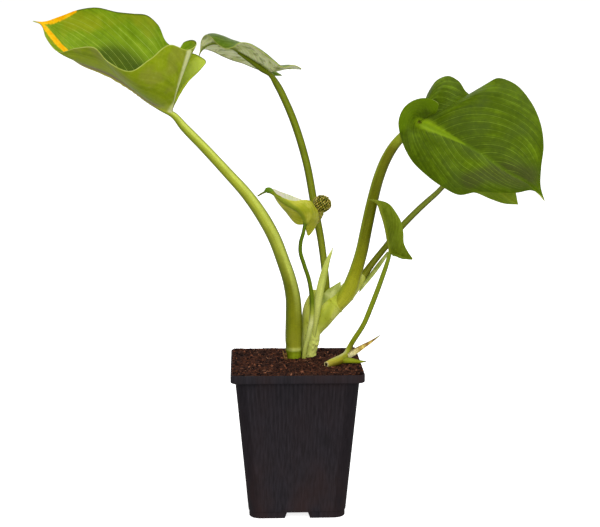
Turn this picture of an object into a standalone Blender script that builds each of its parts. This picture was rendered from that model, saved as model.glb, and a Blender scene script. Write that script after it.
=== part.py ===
"""Bog arum in a square black nursery pot.

The script works in metres with +Z up. The origin is the middle of the pot's underside.
-Y is the side that the plant is looked at from. Sizes and the few points that each organ's
curve passes through are written in millimetres, and MM turns them to metres.
"""
import math

import bmesh
import bpy
import numpy as np
from mathutils import Matrix, Vector

MM = 0.001
# Air left between two pieces that touch
GAP = 0.3
# Vertices closer than this are one vertex
WELD = 0.05

# Pot: a thin-walled square of 88 mm over the rim and 100 mm tall
POT_HEIGHT = 100.0
RIM_HALF = 44.0
RIM_DROP = 5.5
BODY_HALF_TOP = 41.0
FOOT_HALF = 32.6
FOOT_HEIGHT = 4.4
FOOT_INSET = 0.5
WALL = 1.3
RIM_CORNER = 5.0
BODY_CORNER = 8.0
CORNER_STEPS = 4

# Drainage: an arched notch through the foot on each side, under a raised pocket in the floor
NOTCH_WIDTH = 17.8
NOTCH_TOP_WIDTH = 14.0
NOTCH_HEIGHT = 4.0
POCKET_WIDTH = 20.4
POCKET_DEPTH = 22.0
POCKET_ROOF = 1.2
SLOT_WIDTH = 3.0
SLOT_LENGTH = 12.0

# Soil
SOIL_TOP = 100.4
SOIL_CROWN = 0.9
SOIL_RINGS = 5
# The root ball stands this far over the slope inside the rim
SHELF_GAP = 0.8
SEED = 11

# Leaf blades: thickness at the margin, along the midrib, and how far the midrib's ridge spreads
BLADE = 0.75
RIDGE_WIDTH = 2.4
# How far a side vein bows towards the leaf's base, as a share of its length; the veins along the
# notch at the petiole bow a little the other way
ARCH = 0.15

# How deep the stalks stand in the soil
ROOTED = 24.0

# Stalks: x, y, z of the centre line and its radius, from the base up. rings is how many
# stretches the stalk is built of, and flat squeezes it along Y.
PETIOLE_LEFT = {
    "route": [(-1, 8.6, 102, 5.4), (-1.1, 8.2, 113, 5.7), (-1, 7.6, 129, 5.6), (-1.6, 6, 143, 5.1),
              (-4, 4, 155, 4.7), (-8.5, 2, 169, 4.45), (-14.5, 0, 185, 4.35), (-22.5, -3, 200, 4.2),
              (-32.5, -6, 215, 3.8), (-45, -8, 231, 3.4), (-60, -10, 249, 3.1),
              (-73, -11, 261.5, 2.8), (-80.2, -11.8, 267.4, 2.1)],
    "rings": 26, "rooted": True,
}
PETIOLE_BACK = {
    "route": [(11, 30.4, 102, 2.9), (13.4, 29.4, 111, 2.8), (17, 28.4, 121, 2.6), (20.4, 27.8, 131, 2.5),
              (22.3, 27.8, 140, 2.4), (22.2, 28.2, 148, 2.4), (21, 29.3, 160, 2.4), (18.6, 31.5, 179, 2.3),
              (14.6, 34.5, 199, 2.25), (7, 40, 233.5, 2.15), (-6, 46, 272, 2.1),
              (-12.2, 48.4, 285.5, 2.05), (-16, 49.6, 292.2, 1.5)],
    "rings": 24, "rooted": True,
}
PETIOLE_RIGHT = {
    "route": [(28.6, 14.4, 134, 3.4), (32.2, 13.8, 139.4, 4.7), (36.4, 12.8, 146, 5.2),
              (40.8, 11.8, 158, 4.6), (45, 10.2, 173, 4.2), (48.6, 8, 191, 3.8), (52, 5, 209, 3.45),
              (56, 2, 226, 3.2), (60, 0, 237, 3.1), (65, -2, 246, 3.0), (72, -4, 254, 2.9),
              (79.6, -7, 261, 2.0)],
    "rings": 22,
}
PETIOLE_SLIM = {
    "route": [(35.4, 21.8, 139, 2.0), (39.8, 22.8, 144.8, 2.4), (46, 24.4, 152.4, 2.5),
              (54, 26.6, 163, 2.3), (64, 29, 175, 2.15), (73.5, 32, 185, 2.05), (88, 35, 199, 1.9),
              (99, 38, 210, 1.85), (107.6, 39.8, 217.2, 1.5)],
    "rings": 18,
}
PETIOLE_SMALL = {
    "route": [(37.4, 4.2, 109.6, 1.75), (39.2, 2.6, 114, 1.75), (44, 0, 124, 1.7), (49, -3, 140, 1.6),
              (55, -6, 156, 1.5), (59.5, -8, 167, 1.4), (62.2, -8.9, 173.8, 1.25)],
    "rings": 14,
}
PEDUNCLE = {
    "route": [(5.9, 5.4, 102, 1.5), (6.8, 4.6, 109, 1.55), (8.8, 3.6, 117, 1.6), (10.8, 2.6, 128, 1.6),
              (11, 1.6, 142, 1.55), (9, -0.6, 156, 1.45), (5.5, -2.6, 167, 1.4), (3, -3.8, 176, 1.35),
              (3.4, -4.4, 183, 1.3), (4.8, -5, 188, 1.2), (5.6, -5, 192.2, 0.9)],
    "rings": 26, "rooted": True,
}
SPEAR = {
    "route": [(12.6, 9, 117, 1.3), (13, 8, 123, 2.1), (14, 7.2, 130, 2.5), (15.4, 6.8, 138, 2.75),
              (16.8, 6.4, 147, 2.8), (19.2, 6, 158, 2.5), (22.2, 5, 169, 1.5), (24.2, 4.4, 174, 0.8),
              (25.4, 4, 177.5, 0.3)],
    "rings": 18, "flat": 0.75,
}

# Crown: the upright rhizome in its leaf bases, and its arm towards the right-hand leaves
CROWN_STEM = {
    "route": [(9.7, 14.6, 102, 4.7), (9.9, 14.6, 107, 5.4), (10.5, 14.4, 112, 6.2), (11, 14.2, 118, 6.7),
              (11.1, 13.6, 126, 6.6), (11.6, 12.8, 135, 5.8), (12.8, 11.8, 142, 3.9), (13.8, 11, 147, 2)],
    "rings": 22, "rooted": True, "sides": 12,
}
CROWN_ARM = {
    "route": [(12.6, 14.2, 116, 4.0), (15.2, 14.6, 121.8, 6.0), (19.2, 15, 127.6, 7.0),
              (23.6, 15.8, 132.4, 6.9), (28.2, 16.6, 136.6, 6.5), (33, 17.8, 141, 6.4), (37.6, 19.4, 146, 6.0),
              (42, 21.4, 150.6, 5.2), (46.4, 23.4, 155.4, 3.9)],
    "rings": 18, "sides": 12,
}

# Offshoot: a cut side shoot that lies in the peat, with two scale leaves
OFFSHOOT = {
    "route": [(19.4, -22.6, 102.6, 3.1), (22.8, -19.8, 102.9, 3.3), (27, -14.8, 103.2, 3.2),
              (31.4, -8.4, 103.8, 3.0), (35, -1.6, 105.2, 2.7), (37, 3.2, 108.6, 2.1)],
    "rings": 14,
}
SCALE_GREEN = {
    "route": [(31.2, -12.6, 103.2, 1.9), (35, -13.4, 103.4, 1.9), (39, -13.2, 102.8, 1.5),
              (43, -12.4, 102.2, 1.0), (47, -11.6, 102.2, 0.35)],
    "rings": 10, "flat": 0.6,
}
SCALE_BROWN = {
    "route": [(36.8, -6.2, 105.6, 1.9), (40.5, -5.4, 108, 2.0), (45.6, -4.4, 111, 1.5),
              (51, -3.2, 114, 0.9), (57, -2, 118, 0.3)],
    "rings": 10, "flat": 0.6,
}

# Spadix: a short club of close-set florets on a stipe
SPADIX_CENTRE = (18.2, 10.0, 206.3)
SPADIX_RADIUS = 5.6
SPADIX_SQUASH = 0.95
FLORETS = 58
FLORET_RADIUS = 1.4
STIPE = {
    "route": [(9.5, 0.8, 193.1, 1.1), (11.2, 3.2, 193.3, 1.3), (13.8, 6.6, 194.2, 1.4),
              (16.5, 9, 197.4, 1.6), (18, 10, 202, 1.9)],
    "rings": 8,
}

# Leaves. A midrib runs from the petiole to the tip. Each half has its margin, from the petiole
# round the basal lobe to the tip, with a last number that says how far the half swells at
# mid-vein, and the direction of that swelling. fan is the share of the margin whose veins
# start at the petiole, and crowd draws the other veins' starts towards the petiole.
LEAF_LEFT = {
    "midrib": [(-82, -12, 269), (-93, -13, 275), (-108, -15, 286), (-121, -17, 294), (-139, -19, 302),
               (-151, -20, 312), (-164, -20, 327), (-169, -20, 328)],
    "halves": [
        {"swell": (0, -0.55, -0.83),
         "margin": [(-79.5, -8, 281, 0.5), (-76.6, -7, 294, 1), (-74.6, -7.4, 306, 1.5),
                    (-73.4, -9, 314, 1.5), (-69, -11.5, 315.8, 2), (-65.2, -16.5, 315.2, 3),
                    (-64.9, -21.5, 312.6, 4), (-70, -28.5, 309.8, 5), (-80, -36, 313, 5),
                    (-93, -50, 304, 5), (-105, -58, 297, 3), (-118, -57, 303, 2), (-126, -52, 311, 1.5),
                    (-139, -42, 311, 1.5), (-152, -30, 309, 1), (-160, -24, 318, 1),
                    (-164, -20.8, 326.5, 0)]},
        {"swell": (0, 0.95, -0.3),
         "margin": [(-71, -1, 288, -1.5), (-62, 6, 297, -3), (-59, 10, 301.5, -3), (-65, 14, 306, 0),
                    (-77, 16, 309, 4), (-85, 16, 314, 5), (-91, 15, 326, 6), (-98, 14, 332, 7),
                    (-107, 12, 333, 8), (-117, 9, 334, 8), (-130, 4, 337, 7), (-142, -4, 335, 5),
                    (-152, -11, 331, 3), (-164, -19.2, 327.5, 0)]},
    ],
    "up": (0, -0.6, 0.8), "fan": 0.4, "crowd": 1.5, "ridge": 2.6, "grid": (27, 7),
}
LEAF_RIGHT = {
    "midrib": [(81, -8, 262), (92, -13, 257), (107, -20, 250), (121, -28, 242), (135, -36, 232),
               (148, -43, 224.5), (155.5, -46, 218), (158, -47, 214)],
    "halves": [
        {"swell": (0.1, -0.8, 0.55),
         "margin": [(84, -3, 270, 1), (89, 6, 282, 2), (96, 10, 290, 4), (103, 11, 292, 5),
                    (109, 9, 289, 4), (114, 2, 281.5, 2), (117.6, -1, 279, 1.5), (123, -3, 283.8, 3),
                    (133, -5, 291, 6), (143, -8, 288, 7), (153, -15, 277, 7), (158.5, -22, 264, 6),
                    (160, -31, 248, 5), (157, -38, 234, 3), (155.8, -45, 222, 1)]},
        {"swell": (0.1, -0.8, 0.55),
         "margin": [(86, -14, 266, 1), (91, -22, 270, 3), (91.5, -25, 275, 4), (85, -23, 278.5, 5),
                    (76, -19, 277, 5), (69.5, -15, 271, 5), (67, -13, 263, 5), (68, -12, 255, 5),
                    (71, -13, 246, 5), (76, -16, 237, 5), (84, -21, 229, 5), (95, -28, 221, 5),
                    (105, -33, 216.5, 4), (115, -36, 218.5, 4), (129, -40, 218.5, 3),
                    (141, -44, 219, 2), (150, -46, 220.5, 1), (155, -46.6, 218, 0)]},
    ],
    "up": (0.1, -0.8, 0.55), "fan": 0.42, "crowd": 1.5, "ridge": 2.6, "grid": (25, 7),
}
LEAF_BACK = {
    "midrib": [(-17, 50, 294), (-26, 49, 301), (-35, 47, 307), (-43, 45, 311.5), (-51, 43, 314),
               (-58, 41, 313), (-63.5, 39.6, 308), (-65, 39, 304.5)],
    "halves": [
        {"swell": (0, 0, 1),
         "margin": [(-13, 44, 294, 1), (-4, 35, 296, 1), (5, 27, 296.5, 1), (0, 22, 299, 2),
                    (-8, 19, 298, 3), (-14, 18, 302, 3), (-20, 17, 307, 3), (-26, 16, 311, 3),
                    (-32, 15, 314, 3), (-37, 13, 314, 4), (-42, 11, 311, 6), (-46, 11, 310.5, 7),
                    (-51, 13, 313, 6), (-56, 20, 318, 4), (-60, 28, 319, 3), (-63, 35, 315, 1),
                    (-64, 38.6, 308, 0)]},
        {"swell": (0, 0, 1),
         "margin": [(-12, 58, 291, 1), (-7, 68, 291, 1), (-10, 77, 291.5, 2), (-18, 83, 293, 3),
                    (-27, 84, 296, 3), (-34, 82, 299, 3), (-42, 76, 301.5, 3), (-49, 68, 304.5, 3),
                    (-56, 58, 308, 2), (-62, 47, 309.5, 1), (-64, 41, 308, 0)]},
    ],
    "up": (0, 0.2, 1), "fan": 0.4, "crowd": 1.4, "ridge": 2.2, "grid": (20, 7),
}
LEAF_SLIM = {
    "midrib": [(109.6, 40.3, 219.3), (123, 40, 219), (135, 40, 216), (146, 40, 209), (157, 39.5, 202)],
    "halves": [
        {"swell": (0, -0.8, 0.6),
         "margin": [(108, 37, 215, 0.5), (116, 33, 211.5, 1), (126, 31.5, 211, 1.5),
                    (137, 33, 206.5, 1.5), (147, 36, 203, 1)]},
        {"swell": (0, -0.8, 0.6),
         "margin": [(109, 44, 226, 1), (114, 49, 233, 2), (125, 53, 237.5, 3), (136, 53, 236, 3),
                    (146, 50, 229, 2), (154, 45.5, 217, 1)]},
    ],
    "up": (0, -0.8, 0.6), "fan": 0.35, "crowd": 1.4, "ridge": 1.8, "grid": (14, 5),
}
LEAF_SMALL = {
    "midrib": [(63, -9, 176.2), (61.5, -8.5, 184), (60, -8, 192), (57.5, -7, 201), (53.5, -6, 209.5),
               (48, -6, 211)],
    "halves": [
        {"swell": (-0.2, -0.9, 0.2),
         "margin": [(67, -12, 173.5, 0.5), (72, -15, 172, 1), (77, -16, 172, 1), (74, -17, 177, 1.5),
                    (71, -18, 183, 2), (70.5, -18, 190, 2.5), (69.5, -17, 196, 2.5), (66, -14, 203, 2),
                    (61.5, -11, 208.5, 1), (54.5, -6.8, 210.6, 0.2)]},
        {"swell": (-0.8, 0.2, 0),
         "margin": [(66, -4, 172.5, 0.5), (70, 2, 172.5, 1), (70, 7, 178, 1.5), (67, 9, 185, 2),
                    (64.5, 9, 193, 2), (61, 6, 201, 1.5), (57, 0, 207.5, 1), (53, -5.2, 209.6, 0.2)]},
    ],
    "up": (0.8, -0.3, 0), "fan": 0.35, "crowd": 1.4, "ridge": 1.5, "grid": (14, 5),
}
SPATHE = {
    "midrib": [(6.4, -4.4, 195), (4.9, -7, 200), (2.5, -9, 204), (-3.6, -10, 208.8), (-8.7, -8, 211.7),
               (-13.2, -5.5, 214.7), (-17.5, -2, 217), (-25.5, 2.6, 212.6)],
    "halves": [
        {"swell": (0.2, -0.95, -0.2),
         "margin": [(7.8, -0.4, 190.5, 0.3), (8.6, 1, 186, 0.3), (11, 2.4, 188.4, 0.5),
                    (13.4, 4, 192, 1), (15.3, 5, 197.5, 2), (14.8, 4, 201.5, 2.5),
                    (12.6, 1.5, 205.5, 3), (9.5, -2.5, 209.5, 3), (5, -6.5, 211, 2.5),
                    (-1, -8.4, 211, 1.2), (-8, -7.6, 212.6, 0.5), (-16.8, -2.3, 216.4, 0)]},
        {"swell": (-0.75, 0.1, -0.65),
         "margin": [(7.2, 0, 197, 1), (6.8, 5, 202.5, 5), (5.2, 8, 209, 9), (0.5, 9, 211, 9),
                    (-4.3, 8, 213, 6.5), (-10, 5, 215.3, 4), (-15, 0.5, 217.6, 1.5),
                    (-17.6, -1.4, 217.6, 0)]},
    ],
    "up": (0.5, 0.6, 0.6), "fan": 0.45, "crowd": 1.3, "ridge": 1.5, "grid": (18, 6),
}

# Membranes of the leaf sheaths: two edges, each from the crown outwards
SHEATH_MID = ([(19, 15.4, 143.6), (22.6, 15.2, 146.8), (26.6, 15.4, 149.4), (31.4, 16, 152.4)],
              [(18, 13.6, 133.6), (22.4, 13.8, 135.6), (27, 14.4, 139.4), (31.6, 15, 145)])
SHEATH_RIGHT = ([(47, 23.6, 150.4), (52.2, 25, 156.2), (58.4, 26.4, 164), (64.6, 28.4, 171)],
                [(46.6, 20.8, 145.8), (53, 22.4, 153), (59.6, 24.8, 161.4), (65.4, 27.6, 169.4)])
SHEATH = 0.7


def spline(points, t):
    """A smooth curve through points, read at each t from 0 to 1; further columns go along."""
    rows = np.array(points, dtype=float)
    steps = np.linalg.norm(np.diff(rows[:, :3], axis=0), axis=1)
    knots = np.concatenate(([0.0], np.cumsum(steps))) / steps.sum()
    slopes = np.gradient(rows, knots, axis=0)
    t = np.clip(np.asarray(t, dtype=float), 0.0, 1.0)
    i = np.clip(np.searchsorted(knots, t, side="right") - 1, 0, len(rows) - 2)
    width = (knots[i + 1] - knots[i])[:, None]
    s = (t[:, None] - knots[i][:, None]) / width
    return ((1 + 2 * s) * (1 - s) ** 2 * rows[i] + s * (1 - s) ** 2 * width * slopes[i]
            + s ** 2 * (3 - 2 * s) * rows[i + 1] + s ** 2 * (s - 1) * width * slopes[i + 1])


def unit(rows):
    return rows / np.maximum(np.linalg.norm(rows, axis=-1, keepdims=True), 1e-9)


def material(name, colour, roughness):
    """A Principled BSDF in an sRGB hex colour; nothing on a potted plant is metal."""
    made = bpy.data.materials.new(name)
    made.use_nodes = True
    shader = made.node_tree.nodes["Principled BSDF"]
    srgb = [int(colour[i:i + 2], 16) / 255 for i in (0, 2, 4)]
    linear = [c / 12.92 if c <= 0.04045 else ((c + 0.055) / 1.055) ** 2.4 for c in srgb]
    shader.inputs["Base Color"].default_value = (*linear, 1)
    shader.inputs["Roughness"].default_value = roughness
    shader.inputs["Metallic"].default_value = 0.0
    made.diffuse_color = (*linear, 1)
    return made


def piece(name, bm, colour="808080", roughness=0.5):
    """Turns a bmesh in millimetres into an object in metres."""
    bmesh.ops.scale(bm, vec=(MM, MM, MM), verts=bm.verts)
    mesh = bpy.data.meshes.new(name)
    bm.to_mesh(mesh)
    bm.free()
    made = bpy.data.objects.new(name, mesh)
    bpy.context.scene.collection.objects.link(made)
    mesh.materials.append(material(name, colour, roughness))
    return made


def apply_modifiers(target):
    depsgraph = bpy.context.evaluated_depsgraph_get()
    mesh = bpy.data.meshes.new_from_object(target.evaluated_get(depsgraph))
    target.modifiers.clear()
    target.data = mesh


def combine(target, tools, operation):
    """Joins the tools to the target, or cuts them out of it, and removes them."""
    for tool in tools:
        boolean = target.modifiers.new(operation.lower(), "BOOLEAN")
        boolean.operation = operation
        boolean.object = tool
    apply_modifiers(target)
    for tool in tools:
        bpy.data.objects.remove(tool)


def smooth(target, degrees=40):
    target.data.shade_smooth()
    target.data.set_sharp_from_angle(angle=math.radians(degrees))


def block(low, high, top_width=None):
    """A box between two corners, its top narrowed across X where top_width is given."""
    bm = bmesh.new()
    bmesh.ops.create_cube(bm, size=1)
    size = [b - a for a, b in zip(low, high)]
    middle = [(a + b) / 2 for a, b in zip(low, high)]
    bmesh.ops.scale(bm, vec=size, verts=bm.verts)
    if top_width:
        top = [v for v in bm.verts if v.co.z > 0]
        bmesh.ops.scale(bm, vec=(top_width / size[0], 1, 1), verts=top)
    bmesh.ops.translate(bm, vec=middle, verts=bm.verts)
    return bm


def four_sides(name, shape):
    """The block that shape() makes on the -Y side, repeated on the pot's four sides."""
    made = []
    for turn in range(4):
        bm = shape()
        bmesh.ops.rotate(bm, matrix=Matrix.Rotation(turn * math.pi / 2, 3, "Z"), verts=bm.verts)
        made.append(piece(f"{name}_{turn}", bm))
    return made


def close_up(bm):
    """Welds a wrapped grid along its seam and caps its open ends."""
    bmesh.ops.remove_doubles(bm, verts=bm.verts, dist=WELD)
    bmesh.ops.holes_fill(bm, edges=[e for e in bm.edges if e.is_boundary], sides=0)
    bmesh.ops.recalc_face_normals(bm, faces=bm.faces)
    return bm


def square_point(half, radius, step):
    """One of the points round a square with rounded corners."""
    turn, part = divmod(step, CORNER_STEPS + 1)
    angle = (turn + part / CORNER_STEPS) * math.pi / 2
    centre = Matrix.Rotation(turn * math.pi / 2, 2) @ Vector((half - radius, half - radius))
    return centre + radius * Vector((math.cos(angle), math.sin(angle)))


def stack_rings(rings):
    """A closed body through rings of (half width, corner radius, z), wrapped from a grid and capped."""
    round_trip = 4 * (CORNER_STEPS + 1)
    levels = len(rings) - 1
    bm = bmesh.new()
    bmesh.ops.create_grid(bm, x_segments=round_trip, y_segments=levels, size=1)
    for vertex in bm.verts:
        step = round((vertex.co.x + 1) / 2 * round_trip)
        half, radius, z = rings[round((vertex.co.y + 1) / 2 * levels)]
        vertex.co = (*square_point(half, radius, step), z)
    return close_up(bm)


def tube(stalk, grow=0.0):
    """A tapering stalk, wrapped from a grid round its route and capped; grow swells it on every side."""
    route, rings, sides = stalk["route"], stalk["rings"], stalk.get("sides", 8)
    if stalk.get("rooted"):
        x, y, z, radius = route[0]
        route = [(x, y, z - depth, radius) for depth in (ROOTED, ROOTED / 2, 4)] + route
    line = spline(route, np.linspace(0, 1, rings + 1))
    centre = line[:, :3]
    ahead = unit(np.gradient(centre, axis=0))
    centre[0] -= ahead[0] * grow
    centre[-1] += ahead[-1] * grow
    side = unit(np.cross(ahead, (0.0, 1.0, 0.0)))
    front = np.cross(side, ahead) * stalk.get("flat", 1.0)
    bm = bmesh.new()
    bmesh.ops.create_grid(bm, x_segments=sides, y_segments=rings, size=1)
    for vertex in bm.verts:
        turn = math.pi * vertex.co.x
        row = round((vertex.co.y + 1) / 2 * rings)
        across = side[row] * math.cos(turn) + front[row] * math.sin(turn)
        vertex.co = centre[row] + across * (line[row, 3] + grow)
    return close_up(bm)


def half_blade(leaf, half, q, v):
    """Points of a half-blade: q goes round its margin from the petiole to the tip, v out along a vein."""
    hub, tip = (np.array(leaf["midrib"][end], dtype=float) for end in (0, -1))
    along = np.clip((q - leaf["fan"]) / (1 - leaf["fan"]), 0, 1) ** leaf["crowd"]
    start = spline(leaf["midrib"], along)
    margin = [(*hub, 0)] + half["margin"] + [(*tip, 0)]
    edge = spline(margin, q)
    end, belly = edge[:, :3], edge[:, 3:]
    chord = end - start
    heading = unit((tip - hub)[None, :])
    toward = unit(chord)
    arch = (heading * toward).sum(axis=1, keepdims=True) * toward - heading
    bow = ARCH * (1.5 * np.clip(q / leaf["fan"], 0, 1) ** 2 - 0.5)
    reach = bow * np.linalg.norm(chord, axis=1)
    control = (start + end) / 2 + reach[:, None] * arch + 2 * belly * np.array(half["swell"])
    v = v[:, None]
    return (1 - v) ** 2 * start + 2 * v * (1 - v) * control + v ** 2 * end


def blade(name, leaf, colour, roughness):
    """A leaf: two half-blades welded along the midrib, thickened on the underside."""
    bm = bmesh.new()
    columns, rows = leaf["grid"]
    for half in leaf["halves"]:
        grid = bmesh.ops.create_grid(bm, x_segments=columns, y_segments=rows, size=1)["verts"]
        at = np.array([vertex.co for vertex in grid])
        points = half_blade(leaf, half, (at[:, 0] + 1) / 2, (at[:, 1] + 1) / 2)
        for vertex, point in zip(grid, points):
            vertex.co = point
    bmesh.ops.remove_doubles(bm, verts=bm.verts, dist=WELD)
    bmesh.ops.triangulate(bm, faces=bm.faces)
    bmesh.ops.recalc_face_normals(bm, faces=bm.faces)
    up = Vector(leaf["up"])
    if sum(face.normal.dot(up) * face.calc_area() for face in bm.faces) < 0:
        bmesh.ops.reverse_faces(bm, faces=bm.faces)
    midrib = spline(leaf["midrib"], np.linspace(0, 1, 60))
    near = [float(np.linalg.norm(midrib - np.array(vertex.co), axis=1).min()) for vertex in bm.verts]
    made = piece(name, bm, colour, roughness)
    ridge = made.vertex_groups.new(name="ridge")
    for index, distance in enumerate(near):
        ridge.add([index], max(0.0, 1 - distance / RIDGE_WIDTH), "REPLACE")
    shell = made.modifiers.new("thickness", "SOLIDIFY")
    shell.thickness = leaf["ridge"] * MM
    shell.offset = -1
    shell.vertex_group = "ridge"
    shell.thickness_vertex_group = BLADE / leaf["ridge"]
    apply_modifiers(made)
    smooth(made, 60)
    return made


def stalk(name, shape, colour):
    made = piece(name, tube(shape), colour, 0.45)
    smooth(made, 50)
    return made


def carve(target, shapes):
    """Cuts a seat for each stalk, a gap wider than the stalk all round."""
    combine(target, [piece(f"seat_{i}", tube(shape, GAP)) for i, shape in enumerate(shapes)], "DIFFERENCE")


def membrane(name, edges, colour):
    """A thin curved skin between two edges."""
    columns, rows = 8, 3
    bm = bmesh.new()
    grid = bmesh.ops.create_grid(bm, x_segments=columns, y_segments=rows, size=1)["verts"]
    for vertex in grid:
        t, s = (vertex.co.x + 1) / 2, (vertex.co.y + 1) / 2
        first, second = (Vector(spline(edge, np.array([t]))[0]) for edge in edges)
        vertex.co = first.lerp(second, s)
    bmesh.ops.triangulate(bm, faces=bm.faces)
    made = piece(name, bm, colour, 0.4)
    shell = made.modifiers.new("thickness", "SOLIDIFY")
    shell.thickness = SHEATH * MM
    shell.offset = 0
    apply_modifiers(made)
    return made


def make_pot():
    """The thin-walled pot: underside, flared wall, stepped rim, then down the inside to the floor."""
    inner_foot = FOOT_HALF - FOOT_INSET - WALL
    inner_top = BODY_HALF_TOP - WALL
    rings = [(FOOT_HALF - FOOT_INSET, BODY_CORNER, 0), (FOOT_HALF - FOOT_INSET, BODY_CORNER, FOOT_HEIGHT),
             (FOOT_HALF, BODY_CORNER, FOOT_HEIGHT + 0.3),
             (BODY_HALF_TOP, BODY_CORNER, POT_HEIGHT - RIM_DROP),
             (RIM_HALF, RIM_CORNER, POT_HEIGHT - RIM_DROP), (RIM_HALF, RIM_CORNER, POT_HEIGHT),
             (RIM_HALF - WALL, RIM_CORNER - WALL, POT_HEIGHT),
             (RIM_HALF - WALL, RIM_CORNER - WALL, POT_HEIGHT - RIM_DROP + WALL),
             (inner_top, BODY_CORNER - WALL, POT_HEIGHT - RIM_DROP - WALL),
             (inner_foot, BODY_CORNER - WALL, WALL)]
    pot = piece("pot", stack_rings(rings), "26252a", 0.4)
    half = FOOT_HALF - FOOT_INSET
    roof = NOTCH_HEIGHT + POCKET_ROOF

    def pocket():
        return block((-POCKET_WIDTH / 2, -half + 0.6, 0.5), (POCKET_WIDTH / 2, -half + POCKET_DEPTH, roof))

    def notch():
        return block((-NOTCH_WIDTH / 2, -half - 3, -1),
                     (NOTCH_WIDTH / 2, -half + POCKET_DEPTH - WALL, NOTCH_HEIGHT), NOTCH_TOP_WIDTH)

    def slot():
        return block((-SLOT_WIDTH / 2, -half + 5, NOTCH_HEIGHT - 1),
                     (SLOT_WIDTH / 2, -half + 5 + SLOT_LENGTH, roof + 1))

    combine(pot, four_sides("pocket", pocket), "UNION")
    combine(pot, four_sides("notch", notch) + four_sides("slot", slot), "DIFFERENCE")
    smooth(pot, 35)
    return pot


def make_soil():
    """The root ball: it fills the pot, stands round the floor's pockets and has a hole for each stalk."""
    clear = WALL + GAP
    rng = np.random.default_rng(SEED)
    rings = [(FOOT_HALF - FOOT_INSET - clear, BODY_CORNER - clear, clear),
             (BODY_HALF_TOP - clear, BODY_CORNER - clear, POT_HEIGHT - RIM_DROP - WALL + SHELF_GAP),
             (RIM_HALF - clear, RIM_CORNER - clear, POT_HEIGHT - RIM_DROP + WALL + SHELF_GAP),
             (RIM_HALF - clear, RIM_CORNER - clear, POT_HEIGHT - 0.6)]
    for ring in range(SOIL_RINGS):
        share = 1 - (ring + 0.5) / SOIL_RINGS
        half = (RIM_HALF - clear) * share
        rings.append((half, half * 0.35, SOIL_TOP + SOIL_CROWN * (1 - share)))
    bm = stack_rings(rings)
    for vertex in bm.verts:
        if vertex.co.z > SOIL_TOP - 0.1:
            vertex.co.z += rng.uniform(-0.35, 0.35)
    bmesh.ops.triangulate(bm, faces=bm.faces)
    soil = piece("soil", bm, "3a2620", 0.95)
    half = FOOT_HALF - FOOT_INSET
    roof = NOTCH_HEIGHT + POCKET_ROOF + GAP

    def room():
        return block((-POCKET_WIDTH / 2 - GAP, -half - 3, -1), (POCKET_WIDTH / 2 + GAP, -half + POCKET_DEPTH + GAP, roof))

    combine(soil, four_sides("room", room), "DIFFERENCE")
    carve(soil, [PETIOLE_LEFT, PETIOLE_BACK, CROWN_STEM, PEDUNCLE, OFFSHOOT, SCALE_GREEN])
    return soil


def make_crown():
    """The rhizome's crown and its arm, hollowed where the leaf stalks sit in it."""
    crown = piece("crown", tube(CROWN_STEM), "a9bf45", 0.45)
    combine(crown, [piece("arm", tube(CROWN_ARM))], "UNION")
    carve(crown, [PETIOLE_RIGHT, PETIOLE_SLIM, SPEAR])
    smooth(crown)
    return crown


def make_spadix():
    """A ball of florets set on a golden-angle spiral, on its stipe, as one body."""
    bm = bmesh.new()
    bmesh.ops.create_icosphere(bm, subdivisions=2, radius=SPADIX_RADIUS)
    bmesh.ops.scale(bm, vec=(1, 1, SPADIX_SQUASH), verts=bm.verts)
    bmesh.ops.translate(bm, vec=SPADIX_CENTRE, verts=bm.verts)
    core = piece("spadix", bm, "7d7f22", 0.55)
    parts = bpy.data.collections.new("florets")
    bpy.context.scene.collection.children.link(parts)
    golden = math.pi * (3 - math.sqrt(5))
    for i in range(FLORETS):
        height = 1 - 2 * (i + 0.5) / FLORETS
        ring = math.sqrt(1 - height * height)
        out = Vector((ring * math.cos(golden * i), ring * math.sin(golden * i), height * SPADIX_SQUASH))
        bead = bmesh.new()
        bmesh.ops.create_icosphere(bead, subdivisions=1, radius=FLORET_RADIUS)
        bmesh.ops.rotate(bead, matrix=Matrix.Rotation(golden * i * 2.0, 3, "Z"), verts=bead.verts)
        bmesh.ops.translate(bead, vec=Vector(SPADIX_CENTRE) + out * (SPADIX_RADIUS - 0.1), verts=bead.verts)
        floret = piece(f"floret_{i}", bead)
        bpy.context.scene.collection.objects.unlink(floret)
        parts.objects.link(floret)
    stipe = piece("stipe", tube(STIPE))
    bpy.context.scene.collection.objects.unlink(stipe)
    parts.objects.link(stipe)
    union = core.modifiers.new("union", "BOOLEAN")
    union.operation = "UNION"
    union.solver = "MANIFOLD"
    union.operand_type = "COLLECTION"
    union.collection = parts
    apply_modifiers(core)
    for part in list(parts.objects):
        bpy.data.objects.remove(part)
    bpy.data.collections.remove(parts)
    smooth(core)
    return core


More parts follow.
